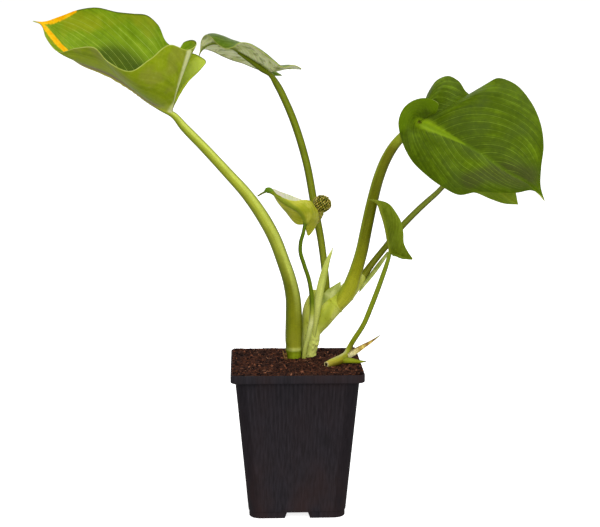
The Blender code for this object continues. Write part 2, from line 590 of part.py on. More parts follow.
def main():
    for old in list(bpy.data.objects):
        bpy.data.objects.remove(old)
    make_pot()
    make_soil()
    make_crown()
    stalk("petiole_left", PETIOLE_LEFT, "9bb03a")
    stalk("petiole_back", PETIOLE_BACK, "7f9a2a")
    stalk("petiole_right", PETIOLE_RIGHT, "7c8c1e")
    stalk("petiole_slim", PETIOLE_SLIM, "6f8c22")
    stalk("petiole_small", PETIOLE_SMALL, "7a9a2c")
    stalk("peduncle", PEDUNCLE, "5d8a1e")
    stalk("spear_leaf", SPEAR, "a5bd45")
    carve(stalk("offshoot", OFFSHOOT, "9a9a38"), [PETIOLE_SMALL])
    carve(stalk("scale_green", SCALE_GREEN, "9fae3c"), [OFFSHOOT])
    carve(stalk("scale_brown", SCALE_BROWN, "b08a3a"), [OFFSHOOT])
    blade("blade_left", LEAF_LEFT, "6c9a22", 0.4)
    blade("blade_right", LEAF_RIGHT, "4f8412", 0.4)
    blade("blade_back", LEAF_BACK, "a9bf90", 0.5)
    blade("blade_slim", LEAF_SLIM, "5c8a20", 0.4)
    blade("blade_small", LEAF_SMALL, "5f9430", 0.4)
    blade("spathe", SPATHE, "b5bc3e", 0.4)
    make_spadix()
    carve(membrane("sheath_mid", SHEATH_MID, "b9c790"), [PETIOLE_RIGHT, CROWN_ARM, SPEAR])
    carve(membrane("sheath_right", SHEATH_RIGHT, "c2cf9a"), [PETIOLE_SLIM, CROWN_ARM])


main()
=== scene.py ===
"""Looks of the potted bog arum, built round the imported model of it.

Lengths are in millimetres until a piece is finished, when MM turns them to metres. +Z is up,
-Y is the side that the photograph shows, and the origin is the middle of the pot's underside.
"""
import math

import bmesh
import bpy
import numpy as np
from mathutils import Matrix, Vector, noise


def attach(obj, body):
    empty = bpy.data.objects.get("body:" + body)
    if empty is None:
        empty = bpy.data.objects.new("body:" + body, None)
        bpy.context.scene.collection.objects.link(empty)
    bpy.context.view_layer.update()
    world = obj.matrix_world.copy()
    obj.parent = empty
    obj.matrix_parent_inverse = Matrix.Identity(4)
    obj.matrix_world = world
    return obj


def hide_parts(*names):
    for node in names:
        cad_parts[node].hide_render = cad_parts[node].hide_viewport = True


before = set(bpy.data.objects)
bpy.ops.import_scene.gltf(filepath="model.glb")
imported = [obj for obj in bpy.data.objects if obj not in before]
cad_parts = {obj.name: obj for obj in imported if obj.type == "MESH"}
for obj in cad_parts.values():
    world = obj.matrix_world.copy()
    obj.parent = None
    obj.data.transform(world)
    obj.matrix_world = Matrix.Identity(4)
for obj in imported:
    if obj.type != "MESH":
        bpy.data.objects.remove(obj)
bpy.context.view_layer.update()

MM = 0.001
# Vertices closer than this are one vertex
WELD = 0.004
# What sappy tissue has in common: a faint wax gloss, and red and green light that travels in it
SAPPY = {"IOR": 1.4, "Specular_IOR_Level": 0.14, "Subsurface_Weight": 0.12, "Subsurface_Scale": MM,
         "Subsurface_Radius": (0.8, 1.0, 0.25)}
SEED = 7
# Parts that melt into one body: the grid that joins them, and how often they are smoothed after it
MELT_VOXEL = 0.45
MELT_ROUNDS = 3

# Pot: a thin-walled square of 88 mm over the rim and 100 mm tall
POT_HEIGHT = 100.0
RIM_HALF = 44.0
RIM_DROP = 5.5
RIM_EDGE = 0.45
BODY_HALF_TOP = 41.0
FOOT_HALF = 32.6
FOOT_HEIGHT = 4.4
FOOT_INSET = 0.5
WALL = 1.3
RIM_CORNER = 5.0
BODY_CORNER = 8.0
CORNER_STEPS = 8
# Fine upright flutes on each side of the pot, deepest under the rim
FLUTES = 23
FLUTE_STEPS = 4
FLUTE_DEPTH = 0.4

# Drainage notch, the pocket over it and the slot in the pocket's roof
NOTCH_WIDTH = 17.8
NOTCH_TOP_WIDTH = 14.0
NOTCH_HEIGHT = 4.0
POCKET_WIDTH = 20.4
POCKET_DEPTH = 22.0
POCKET_ROOF = 1.2
SLOT_WIDTH = 3.0
SLOT_LENGTH = 12.0

# Peat: how high it lies, how deep its skirt hangs in the pot, and how finely its top is divided
PEAT_TOP = 100.2
PEAT_HALF = 43.3
PEAT_CORNER = 4.6
PEAT_DEPTH = 9.0
PEAT_TAPER = 0.89
PEAT_GRID = 230
CRUMBS = 1500
FIBRES = 230

# Leaf blades: thickness at the margin, and how far the midrib's ridge spreads
BLADE = 0.5
RIDGE_WIDTH = 2.6
# How far a side vein bows towards the leaf's base, as a share of its length
ARCH = 0.15
# Between these shares of the margin the bow sets in
BOW_FROM = 0.45
BOW_TO = 0.6
# How far round the margin a vein has run when it reaches it, and how late it turns
SWEEP = 0.3
SWEEP_TURN = 1.3
# A route is read at this many places to find what is near it, and a vein at fewer
ROUTE_STEPS = 90
VEIN_STEPS = 12

# Stalks: x, y, z of the centre line and its radius, from the base up. run_on carries the
# petiole on under the blade, flat squeezes a stalk along Y, and pit is the wall and the depth
# of the hollow in a cut end.
PETIOLE_LEFT = {
    "route": [(-1, 8.6, 96, 5.3), (-1, 8.6, 102, 5.4), (-1, 8.5, 105.6, 5.45), (-1, 8.4, 106.9, 5.85),
              (-1, 8.4, 108.2, 5.55), (-1.1, 8.2, 113, 5.7), (-1, 7.6, 129, 5.6),
              (-1.6, 6, 143, 5.1), (-4, 4, 155, 4.7), (-8.5, 2, 169, 4.45), (-14.5, 0, 185, 4.35),
              (-22.5, -3, 200, 4.2), (-32.5, -6, 214.6, 3.8), (-45.6, -8, 229.6, 3.4),
              (-61, -10, 246.6, 3.1), (-73.6, -11, 259.8, 2.8), (-80.2, -11.8, 267.4, 2.1)],
    "run_on": [(-88, -12.5, 271.4, 1.5), (-98, -13.6, 277.4, 1.0), (-109, -15, 286, 0.6)],
}
PETIOLE_BACK = {
    "route": [(10, 30.8, 97, 2.9), (11, 30.4, 102, 2.9), (13.4, 29.4, 111, 2.8), (17, 28.4, 121, 2.6),
              (20.4, 27.8, 131, 2.5), (22.3, 27.8, 140, 2.4), (22.2, 28.2, 148, 2.4), (21, 29.3, 160, 2.4),
              (18.6, 31.5, 179, 2.5), (14.8, 34.5, 199, 2.6), (8.4, 40, 233.5, 2.6), (-4.6, 46, 272, 2.5),
              (-11.4, 48.4, 285.5, 2.3), (-16, 49.6, 292.2, 1.7)],
    "run_on": [(-21, 48.8, 295.4, 2.0), (-29, 47.4, 301, 1.5), (-38, 45.4, 307, 0.7)],
}
PETIOLE_RIGHT = {
    "route": [(27, 15, 131, 3.0), (28.6, 14.4, 134, 3.7), (32.2, 13.8, 139.4, 4.9), (36.4, 12.8, 146, 5.3),
              (40.8, 11.8, 158, 4.6), (45, 10.2, 173, 4.2), (48.4, 8, 191, 4.0), (51.9, 5, 209, 3.8),
              (56.1, 2, 226, 3.6), (60.2, 0, 237, 3.5), (65.2, -2, 246, 3.3), (72, -4, 254, 2.9),
              (79.4, -6.4, 260.4, 1.7)],
    "run_on": [(84, -7.2, 259.0, 1.3), (92, -11.2, 255.4, 0.9), (107, -18.4, 248.6, 0.5)],
}
PETIOLE_SLIM = {
    "route": [(32, 21, 136, 1.6), (35.4, 21.8, 139, 2.1), (39.8, 22.8, 144.8, 2.6), (46, 24.4, 152.4, 2.7),
              (54, 26.6, 163, 2.3), (64, 29, 175, 2.15), (72.6, 32, 185.4, 2.2), (86.8, 35, 199.6, 2.1),
              (99, 38, 210, 1.85), (107.6, 39.8, 217.2, 1.5)],
    "run_on": [(113, 40.6, 218.4, 1.0), (122, 40.8, 218.2, 0.6)],
}
PETIOLE_SMALL = {
    "route": [(36.6, 4.6, 107.4, 1.7), (37.4, 4.2, 109.6, 1.75), (39.6, 2.6, 114, 1.75), (45.4, 0, 124, 1.7),
              (51.6, -3, 140, 1.75), (57, -6, 156, 1.65), (60.4, -8, 167, 1.5), (62.2, -8.9, 173.8, 1.25)],
    "run_on": [(62.6, -8.7, 178, 0.9), (61.8, -8.2, 186, 0.5)],
}
PEDUNCLE = {
    "route": [(5.4, 5.9, 97, 1.5), (5.9, 5.4, 102, 1.5), (6.8, 4.6, 109, 1.55), (8.8, 3.6, 117, 1.6),
              (10.8, 2.6, 128, 1.6), (11, 1.6, 142, 1.55), (9, -0.6, 156, 1.45), (5.5, -2.6, 167, 1.4),
              (3, -3.8, 176, 1.35), (3.4, -4.4, 183, 1.3), (4.8, -5, 188, 1.25), (5.6, -5, 192.2, 1.15)],
    "run_on": [(6, -4.8, 195, 1.1), (5.0, -6.4, 199.6, 0.9), (2.6, -8.3, 203.6, 0.6)],
}
SPEAR = {
    "route": [(12.2, 9.6, 113, 1.3), (12.6, 9, 117, 1.8), (13, 8, 123, 2.3), (14, 7.2, 130, 2.6),
              (15.4, 6.8, 138, 2.75), (16.8, 6.4, 147, 2.8), (19.2, 6, 158, 2.5), (22.2, 5, 169, 1.5),
              (24.2, 4.4, 174, 0.8), (25.4, 4, 177.5, 0.25)],
    "flat": 0.75,
}
CROWN_STEM = {
    "route": [(9.6, 14.6, 96, 4.6), (9.7, 14.6, 102, 4.7), (9.9, 14.6, 107, 5.4), (10.5, 14.4, 112, 6.2),
              (11, 14.2, 118, 6.7), (11.1, 13.6, 126, 6.6), (11.6, 12.8, 135, 5.8), (12.8, 11.8, 142, 3.9),
              (13.8, 11, 147, 2)],
}
CROWN_ARM = {
    "route": [(12.6, 14.2, 116, 4.0), (15.2, 14.6, 121.8, 6.0), (19.2, 15, 127.6, 7.0),
              (23.6, 15.8, 132.4, 6.9), (28.2, 16.6, 136.6, 6.5), (33, 17.8, 141, 6.4),
              (37.6, 19.4, 146, 6.0), (42, 21.4, 150.6, 5.2), (46.4, 23.4, 155.4, 3.9)],
}
OFFSHOOT = {
    "route": [(19.4, -22.6, 102.6, 1.9), (22.8, -19.8, 102.9, 2.7), (27, -14.8, 103.2, 3.1),
              (31.4, -8.4, 103.8, 3.0), (35, -1.6, 105.2, 2.7), (37, 3.2, 108.6, 2.1),
              (37.8, 3.8, 110.6, 1.7)],
    "pit": (0.6, 1.2),
}
SCALE_GREEN = {
    "route": [(28.6, -12, 103.2, 1.4), (31.2, -12.6, 103.2, 1.9), (35, -13.4, 103.4, 1.9),
              (39, -13.2, 102.8, 1.5), (43, -12.4, 102.2, 1.0), (47, -11.6, 102.2, 0.25)],
    "flat": 0.6,
}
SCALE_BROWN = {
    "route": [(34, -6.4, 104, 1.4), (36.8, -6.2, 105.6, 1.9), (40.5, -5.4, 108, 2.0),
              (45.6, -4.4, 111, 1.5), (51, -3.2, 114, 0.9), (57, -2, 118, 0.2)],
    "flat": 0.6,
}

# Spadix: a short club of close-set florets on a stipe
SPADIX_CENTRE = (18.2, 10.0, 206.3)
SPADIX_RADIUS = 5.7
SPADIX_SQUASH = 0.95
CORE_RADIUS = SPADIX_RADIUS - 0.8
FLORETS = 170
FLORET_RADIUS = 0.76
STIPE = {
    "route": [(8.2, -0.8, 193.2, 0.8), (9.5, 0.8, 193.1, 1.1), (11.2, 3.2, 193.3, 1.3),
              (13.8, 6.6, 194.2, 1.4), (16.5, 9, 197.4, 1.6), (18, 10, 202, 1.9)],
}
STIPE_FLORETS = 22

# On the offshoot's skin, the colour of the cut face round its pit lies at this share
CUT_SHARE = 0.008

# Leaves. A midrib runs from the petiole to the tip. Each half has its margin, from the petiole
# round the basal lobe to the tip, with a last number that says how far the half swells at
# mid-vein, and the direction of that swelling. fan is the share of the margin whose veins
# start at the petiole, and crowd draws the other veins' starts towards the petiole. recurve is
# how strongly the first veins of a basal lobe bend back, which hollows the lobe's outline. up is
# where the upper skin faces, ridge the thickness at the midrib, and fine how many columns and
# rows of faces a half has.
LEAF_LEFT = {
    "midrib": [(-82, -12, 269), (-93, -13, 275), (-108, -15, 286), (-121, -17, 294), (-139, -19, 302),
               (-151, -20, 312), (-164, -20, 327), (-168.6, -20, 328)],
    "halves": [
        {"swell": (-0.25, -0.55, -0.8), "recurve": 2.6,
         "margin": [(-79.5, -8, 281, 0.5), (-76.6, -7, 294, 1), (-74.6, -7.4, 306, 1.5),
                    (-73.4, -9, 314, 1.5), (-69, -11.5, 315.8, 2), (-65.2, -16.5, 315.2, 3),
                    (-64.9, -21.5, 312.6, 4), (-70, -28.5, 309.8, 5), (-80, -36, 313, 5),
                    (-93, -50, 304, 5), (-105, -58, 297, 3), (-118, -57, 303, 2), (-126, -52, 311, 1.5),
                    (-139, -42, 311, 1.5), (-152, -30, 309, 1), (-160, -24, 318, 1),
                    (-164, -20.8, 326.5, 0)]},
        {"swell": (0, 0.95, -0.3), "recurve": 1.6,
         "margin": [(-71, -1, 288, -1.5), (-62, 6, 297, -3), (-59, 10, 301.5, -3), (-65, 14, 306, 0),
                    (-77, 16, 309, 4), (-85, 16, 314, 5), (-91, 15, 326, 6), (-98, 14, 332, 7),
                    (-107, 12, 333, 8), (-117, 9, 334, 8), (-130, 4, 336.8, 7), (-142, -4, 335, 5),
                    (-152, -11, 331, 3), (-164, -19.2, 327.5, 0)]},
    ],
    "up": (0, -0.6, 0.8), "fan": 0.4, "crowd": 1.5, "ridge": 2.2, "fine": (190, 60),
}
LEAF_RIGHT = {
    "midrib": [(81, -8, 262), (92, -13, 257), (107, -20, 250), (121, -28, 242), (135, -36, 232),
               (148, -43, 224.5), (155.5, -46, 218), (158, -47, 214)],
    "halves": [
        {"swell": (0.1, -0.8, 0.55), "straight": True,
         "margin": [(84, -3, 270, 1), (89, 6, 282, 2), (96, 10, 290, 4), (103, 11, 292, 5),
                    (109, 9, 289, 3), (114, 2, 281.5, -1), (117.6, -1, 279, -2), (123, -3, 283.8, -2),
                    (133, -5, 291, 1), (143, -8, 288, 7), (153, -15, 277, 7), (158.5, -22, 264, 6),
                    (159.7, -31, 248, 5), (157, -38, 234, 3), (155.8, -45, 222, 1)]},
        {"swell": (0.1, -0.8, 0.55),
         "margin": [(86, -14, 266, 1), (91, -22, 270, 3), (91.5, -25, 275, 4), (85, -23, 278.5, 5),
                    (76, -19, 277, 5), (69.5, -15, 271, 5), (67, -13, 263, 5), (68, -12, 255, 5),
                    (71, -13, 246, 5), (76, -16, 237, 5), (84, -21, 229, 5), (95, -28, 221, 5),
                    (105, -33, 216.5, 4), (115, -36, 218.5, 4), (129, -40, 218.5, 3),
                    (141, -44, 219, 2), (150, -46, 220.5, 1), (155, -46.6, 218, 0)]},
    ],
    "up": (0.1, -0.8, 0.55), "fan": 0.42, "crowd": 1.5, "ridge": 2.2, "fine": (190, 60),
}
LEAF_BACK = {
    "midrib": [(-17, 50, 294), (-26, 49, 301), (-35, 47, 307), (-43, 45, 311.5), (-51, 43, 314),
               (-58, 41, 313), (-63.5, 39.6, 308), (-65, 39, 304.5)],
    "halves": [
        {"swell": (0, 0, 1),
         "margin": [(-13, 44, 294, 1), (-4, 35, 296, 1), (5, 27, 296.5, 1), (0, 22, 299, 2),
                    (-8, 19, 298, 3), (-14, 18, 302, 3), (-20, 17, 307, 3), (-26, 16, 311, 3),
                    (-32, 15, 314, 3), (-37, 13, 314, 4), (-42, 11, 311, 6), (-46, 11, 310.5, 7),
                    (-51, 13, 313, 6), (-56, 20, 318, 4), (-60, 28, 319, 3), (-63, 35, 315, 1),
                    (-64, 38.6, 308, 0)]},
        {"swell": (0, 0, 1),
         "margin": [(-12, 58, 291, 1), (-7, 68, 291, 1), (-10, 77, 291.5, 2), (-18, 82.9, 293, 3),
                    (-27, 83.8, 296, 3), (-34, 82, 299, 3), (-42, 76, 301.5, 3), (-49, 68, 304.5, 3),
                    (-56, 58, 308, 2), (-62, 47, 309.5, 1), (-64, 41, 308, 0)]},
    ],
    "up": (0, 0.2, 1), "fan": 0.4, "crowd": 1.4, "ridge": 1.9, "fine": (150, 44),
}
LEAF_SLIM = {
    "midrib": [(109.6, 40.3, 219.3), (123, 40, 219), (135, 40, 216), (146, 40, 209), (157, 39.5, 202)],
    "halves": [
        {"swell": (0, -0.8, 0.6),
         "margin": [(108, 37, 215, 0.5), (116, 33, 211.5, 1), (126, 31.5, 211, 1.5),
                    (137, 33, 206.5, 1.5), (147, 36, 203, 1)]},
        {"swell": (0, -0.8, 0.6),
         "margin": [(109, 44, 226, 1), (114, 49, 233, 2), (125, 53, 237.5, 3), (136, 53, 236, 3),
                    (146, 50, 229, 2), (154, 45.5, 217, 1)]},
    ],
    "up": (0, -0.8, 0.6), "fan": 0.35, "crowd": 1.4, "ridge": 1.6, "fine": (100, 30),
}
LEAF_SMALL = {
    "midrib": [(63, -9, 176.2), (61.5, -8.5, 184), (60, -8, 192), (57.5, -7, 201), (53.5, -6, 209.5),
               (48, -6, 211)],
    "halves": [
        {"swell": (-0.2, -0.9, 0.2),
         "margin": [(67, -12, 173.5, 0.5), (72, -15, 172, 1), (77, -16, 172, 1), (74, -17, 177, 1.5),
                    (71, -18, 183, 2), (70.5, -18, 190, 2.5), (69.5, -17, 196, 2.5), (66, -14, 203, 2),
                    (61.5, -11, 208.5, 1), (54.5, -6.8, 210.6, 0.2)]},
        {"swell": (-0.8, 0.2, 0),
         "margin": [(66, -4, 172.5, 0.5), (70, 2, 172.5, 1), (70, 7, 178, 1.5), (67, 9, 185, 2),
                    (64.5, 9, 193, 2), (61, 6, 201, 1.5), (57, 0, 207.5, 1), (53, -5.2, 209.6, 0.2)]},
    ],
    "up": (0.8, -0.3, 0), "fan": 0.35, "crowd": 1.4, "ridge": 1.3, "fine": (110, 34),
}
SPATHE = {
    "midrib": [(6.4, -4.4, 195), (4.9, -7, 200), (2.5, -9, 203.4), (-3.6, -10, 207.4), (-8.7, -8, 210.4),
               (-13.2, -5.5, 213.8), (-17.5, -2, 217), (-25.5, 2.6, 212.6)],
    "halves": [
        {"swell": (0.2, -0.95, -0.2),
         "margin": [(7.8, -0.4, 190.5, 0.3), (8.6, 1, 186, 0.3), (11, 2.4, 188.4, 0.5),
                    (13.4, 4, 192, 1), (15.3, 5, 197.5, 2), (14.8, 4, 201.5, 2.5),
                    (12.6, 1.5, 205.5, 3), (9.5, -2.5, 209.5, 3), (5, -6.5, 210.6, 2.5),
                    (-1, -8.4, 210.2, 1.2), (-8, -7.6, 211.6, 0.5), (-16.4, -2.6, 216.2, 0),
                    (-19.6, -0.8, 215.9, 0)]},
        {"swell": (-0.75, 0.1, -0.65),
         "margin": [(7.2, 0, 197, 1), (6.8, 5, 202.5, 5), (5.2, 8, 209, 9), (0.5, 9, 211, 9),
                    (-4.3, 8, 213, 8.5), (-10, 5, 215.3, 7), (-15, 0.5, 217.6, 3),
                    (-17.6, -1.4, 217.4, 0), (-19.6, -0.6, 216.1, 0)]},
    ],
    "up": (0.5, 0.6, 0.6), "fan": 0.45, "crowd": 1.3, "ridge": 1.3, "fine": (130, 40),
}

# The knob in which the spathe ends, and the thread beyond it
SPATHE_TIP = {
    "route": [(-14.4, -4.1, 215.2, 0.7), (-15.6, -3.2, 216, 1.3), (-17.2, -2.4, 216.9, 1.9),
              (-19, -1.4, 216.9, 1.8), (-20.4, -0.6, 216, 0.9), (-21.4, 0, 215.2, 0.5),
              (-23.4, 1.2, 213.9, 0.42), (-25.4, 2.4, 212.7, 0.3)],
}

# Membranes of the leaf sheaths: two edges, each from the crown outwards
SHEATH_MID = ([(17, 14.4, 141.6), (22.6, 15.2, 146.8), (26.6, 15.4, 149.4), (31.4, 16, 152.4)],
              [(16.6, 13, 132.6), (22.4, 13.8, 135.6), (27, 14.4, 139.4), (31.6, 15, 145)])
SHEATH_RIGHT = ([(45, 23, 148.2), (52.2, 25, 156.2), (58.4, 26.4, 164), (64.6, 28.4, 171)],
                [(44.6, 20.4, 143.8), (53, 22.4, 153), (59.6, 24.8, 161.4), (65.4, 27.6, 169.4)])
SHEATH = 0.45
SHEATH_COLUMNS = 44
SHEATH_ROWS = 16
# A torn brown husk at the foot of the left petiole
HUSK = ([(-7.6, 8, 104.2), (-8.6, 5.6, 106.4), (-7.8, 3.4, 104.6), (-6, 2.2, 106)],
        [(-7.2, 7.6, 99.6), (-7.8, 5.4, 99.6), (-7.2, 3.6, 99.6), (-5.6, 2.6, 99.6)])


def linear(colour):
    """An sRGB hex colour as the linear RGBA that the shaders work in."""
    srgb = [int(colour[i:i + 2], 16) / 255 for i in (1, 3, 5)]
    return (*(c / 12.92 if c <= 0.04045 else ((c + 0.055) / 1.055) ** 2.4 for c in srgb), 1.0)


def add(tree, kind, *inputs, stops=(), **settings):
    """Adds a shader node and gives its first usable output. The inputs are filled in order, each
    with a value, a colour or another node's output. A setting whose name is that of a socket goes
    to the socket, and any other is a property of the node."""
    made = tree.nodes.new("ShaderNode" + kind)
    named = {name: settings.pop(name) for name in list(settings) if name in made.inputs}
    for name, value in settings.items():
        setattr(made, name, value)
    usable = [socket for socket in made.inputs if socket.enabled]
    for socket, value in [*zip(usable, inputs), *((made.inputs[name], named[name]) for name in named)]:
        if isinstance(value, bpy.types.NodeSocket):
            tree.links.new(value, socket)
        else:
            socket.default_value = linear(value) if isinstance(value, str) else value
    if stops:
        ramp = made.color_ramp
        while len(ramp.elements) < len(stops):
            ramp.elements.new(1.0)
        for element, (position, colour) in zip(ramp.elements, stops):
            element.position = position
            element.color = linear(colour)
    return next(socket for socket in made.outputs if socket.enabled)


def evenly(colours):
    """Colour stops at even distances from 0 to 1."""
    return [(place / (len(colours) - 1), colour) for place, colour in enumerate(colours)]


def start(name, **values):
    """A new material and its Principled shader, with the values that are the same all over."""
    made = bpy.data.materials.new(name)
    made.use_nodes = True
    shader = made.node_tree.nodes["Principled BSDF"]
    for socket, value in values.items():
        shader.inputs[socket.replace("_", " ")].default_value = value
    return made, made.node_tree, shader


def lay_over(tree, base, colour, mask, span, share, shape="SMOOTHSTEP"):
    """Lays a colour over the base: its share goes from the first to the second as the mask
    crosses the span."""
    amount = add(tree, "MapRange", mask, *span, *share, interpolation_type=shape)
    return add(tree, "Mix", amount, base, colour, data_type="RGBA")


def dress(tree, shader, colour, height=None, strength=0.0, depth=0.1):
    """Gives the shader its colour and, as a bump of a depth in millimetres, its grain."""
    tree.links.new(colour, shader.inputs["Base Color"])
    if height:
        bump = add(tree, "Bump", Height=height, Strength=strength, Distance=depth * MM)
        tree.links.new(bump, shader.inputs["Normal"])


def spline(points, t):
    """A smooth curve through points, read at each t from 0 to 1; further columns go along."""
    rows = np.array(points, dtype=float)
    steps = np.linalg.norm(np.diff(rows[:, :3], axis=0), axis=1)
    knots = np.concatenate(([0.0], np.cumsum(steps))) / steps.sum()
    slopes = np.gradient(rows, knots, axis=0)
    t = np.clip(np.asarray(t, dtype=float), 0.0, 1.0)
    i = np.clip(np.searchsorted(knots, t, side="right") - 1, 0, len(rows) - 2)
    width = (knots[i + 1] - knots[i])[:, None]
    s = (t[:, None] - knots[i][:, None]) / width
    return ((1 + 2 * s) * (1 - s) ** 2 * rows[i] + s * (1 - s) ** 2 * width * slopes[i]
            + s ** 2 * (3 - 2 * s) * rows[i + 1] + s ** 2 * (s - 1) * width * slopes[i + 1])


def unit(rows):
    """Each row scaled to a length of 1."""
    return rows / np.maximum(np.linalg.norm(rows, axis=-1, keepdims=True), 1e-9)


def as_object(name, bm):
    """Makes a bmesh an object of the scene."""
    mesh = bpy.data.meshes.new(name)
    bm.to_mesh(mesh)
    bm.free()
    made = bpy.data.objects.new(name, mesh)
    bpy.context.scene.collection.objects.link(made)
    return made


def smooth(mesh, sharp):
    """Shades a mesh smooth, but for the edges past an angle in degrees."""
    mesh.shade_smooth()
    mesh.set_sharp_from_angle(angle=math.radians(sharp))


def finish(name, bm, materials, replaces=(), sharp=50):
    """Turns a bmesh in millimetres into a piece of the plant: with its materials, riding on the root
    and smooth. A fine mesh that stands for a plain node is called fine_ and the node's name."""
    bmesh.ops.scale(bm, vec=(MM, MM, MM), verts=bm.verts)
    made = as_object(f"fine_{name}" if replaces else name, bm)
    for material in materials:
        made.data.materials.append(material)
    smooth(made.data, sharp)
    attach(made, "root")
    if replaces:
        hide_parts(*replaces)
    return made


def bake_modifiers(piece, sharp=50):
    """Puts the result of the piece's modifiers into its mesh."""
    depsgraph = bpy.context.evaluated_depsgraph_get()
    mesh = bpy.data.meshes.new_from_object(piece.evaluated_get(depsgraph))
    piece.modifiers.clear()
    piece.data = mesh
    smooth(mesh, sharp)


def close_up(bm, verts):
    """Welds a wrapped grid along its seam and caps its open ends."""
    bmesh.ops.remove_doubles(bm, verts=verts, dist=WELD)
    rim = [edge for edge in bm.edges if edge.is_boundary]
    bmesh.ops.holes_fill(bm, edges=rim, sides=0)


def tube(bm, route, rings, sides, flat=1.0, ribs=0, rib_height=0.0, tint=0.0):
    """Adds a tapering stalk, wrapped from a grid round its route and capped. Its UV map goes
    round it and along it, and its ribs run lengthwise. Gives its length and its girth."""
    if not bm.loops.layers.uv:
        bm.loops.layers.uv.new("UVMap")
    shade = bm.verts.layers.float.get("tint") or bm.verts.layers.float.new("tint")
    line = spline(route, np.linspace(0, 1, rings + 1))
    centre = line[:, :3]
    ahead = unit(np.gradient(centre, axis=0))
    side = unit(np.cross(ahead, (0.0, 1.0, 0.0)))
    front = np.cross(side, ahead) * flat
    grid = bmesh.ops.create_grid(bm, x_segments=sides, y_segments=rings, size=1,
                                 calc_uvs=True)["verts"]
    for vertex in grid:
        turn = math.pi * vertex.co.x
        row = round((vertex.co.y + 1) / 2 * rings)
        radius = line[row, 3] + rib_height * math.cos(ribs * turn)
        vertex[shade] = tint
        vertex.co = centre[row] + (side[row] * math.cos(turn) + front[row] * math.sin(turn)) * radius
    close_up(bm, grid)
    length = float(np.linalg.norm(np.diff(centre, axis=0), axis=1).sum())
    return length, 2 * math.pi * float(line[:, 3].mean())


def half_blade(leaf, half, q, v):
    """Points of a half-blade: q goes round its margin from the petiole to the tip, v out along a vein."""
    hub, tip = (np.array(leaf["midrib"][end], dtype=float) for end in (0, -1))
    along = np.clip((q - leaf["fan"]) / (1 - leaf["fan"]), 0, 1) ** leaf["crowd"]
    start_point = spline(leaf["midrib"], along)
    margin = [(*hub, 0)] + half["margin"] + [(*tip, 0)]
    edge = spline(margin, q)
    end, belly = edge[:, :3], edge[:, 3:]
    chord = end - start_point
    heading = unit((tip - hub)[None, :])
    toward = unit(chord)
    arch = (heading * toward).sum(axis=1, keepdims=True) * toward - heading
    recurve = half.get("recurve", 0.5)
    bow = ARCH * ((1 + recurve) * np.clip(q / leaf["fan"], 0, 1) ** 2 - recurve)
    if half.get("straight"):
        bow = bow * np.clip((q - BOW_FROM) / (BOW_TO - BOW_FROM), 0, 1)
    reach = bow * np.linalg.norm(chord, axis=1)
    control = (start_point + end) / 2 + reach[:, None] * arch + 2 * belly * np.array(half["swell"])
    v = v[:, None]
    return (1 - v) ** 2 * start_point + 2 * v * (1 - v) * control + v ** 2 * end


def vein_course(q, v):
    """Which vein passes a point of a half-blade: veins leave the midrib and arch towards the tip."""
    return q - SWEEP * v ** SWEEP_TURN


def one_vein(leaf, side, q, radius):
    """The route of a single vein of a half-blade, for a mark along it."""
    out = np.linspace(0.03, 0.97, VEIN_STEPS)
    points = half_blade(leaf, leaf["halves"][side], np.full(VEIN_STEPS, q), out)
    return [(*point, radius) for point in points]


def closeness(points, route):
    """How near each point is to a route of (x, y, z, radius): 1 on it, 0 from the radius outwards."""
    line = spline(route, np.linspace(0, 1, ROUTE_STEPS))
    away = np.linalg.norm(points[:, None, :] - line[None, :, :3], axis=2)
    nearest = away.argmin(axis=1)
    rows = np.arange(len(points))
    return np.clip(1 - away[rows, nearest] / line[nearest, 3], 0, 1)


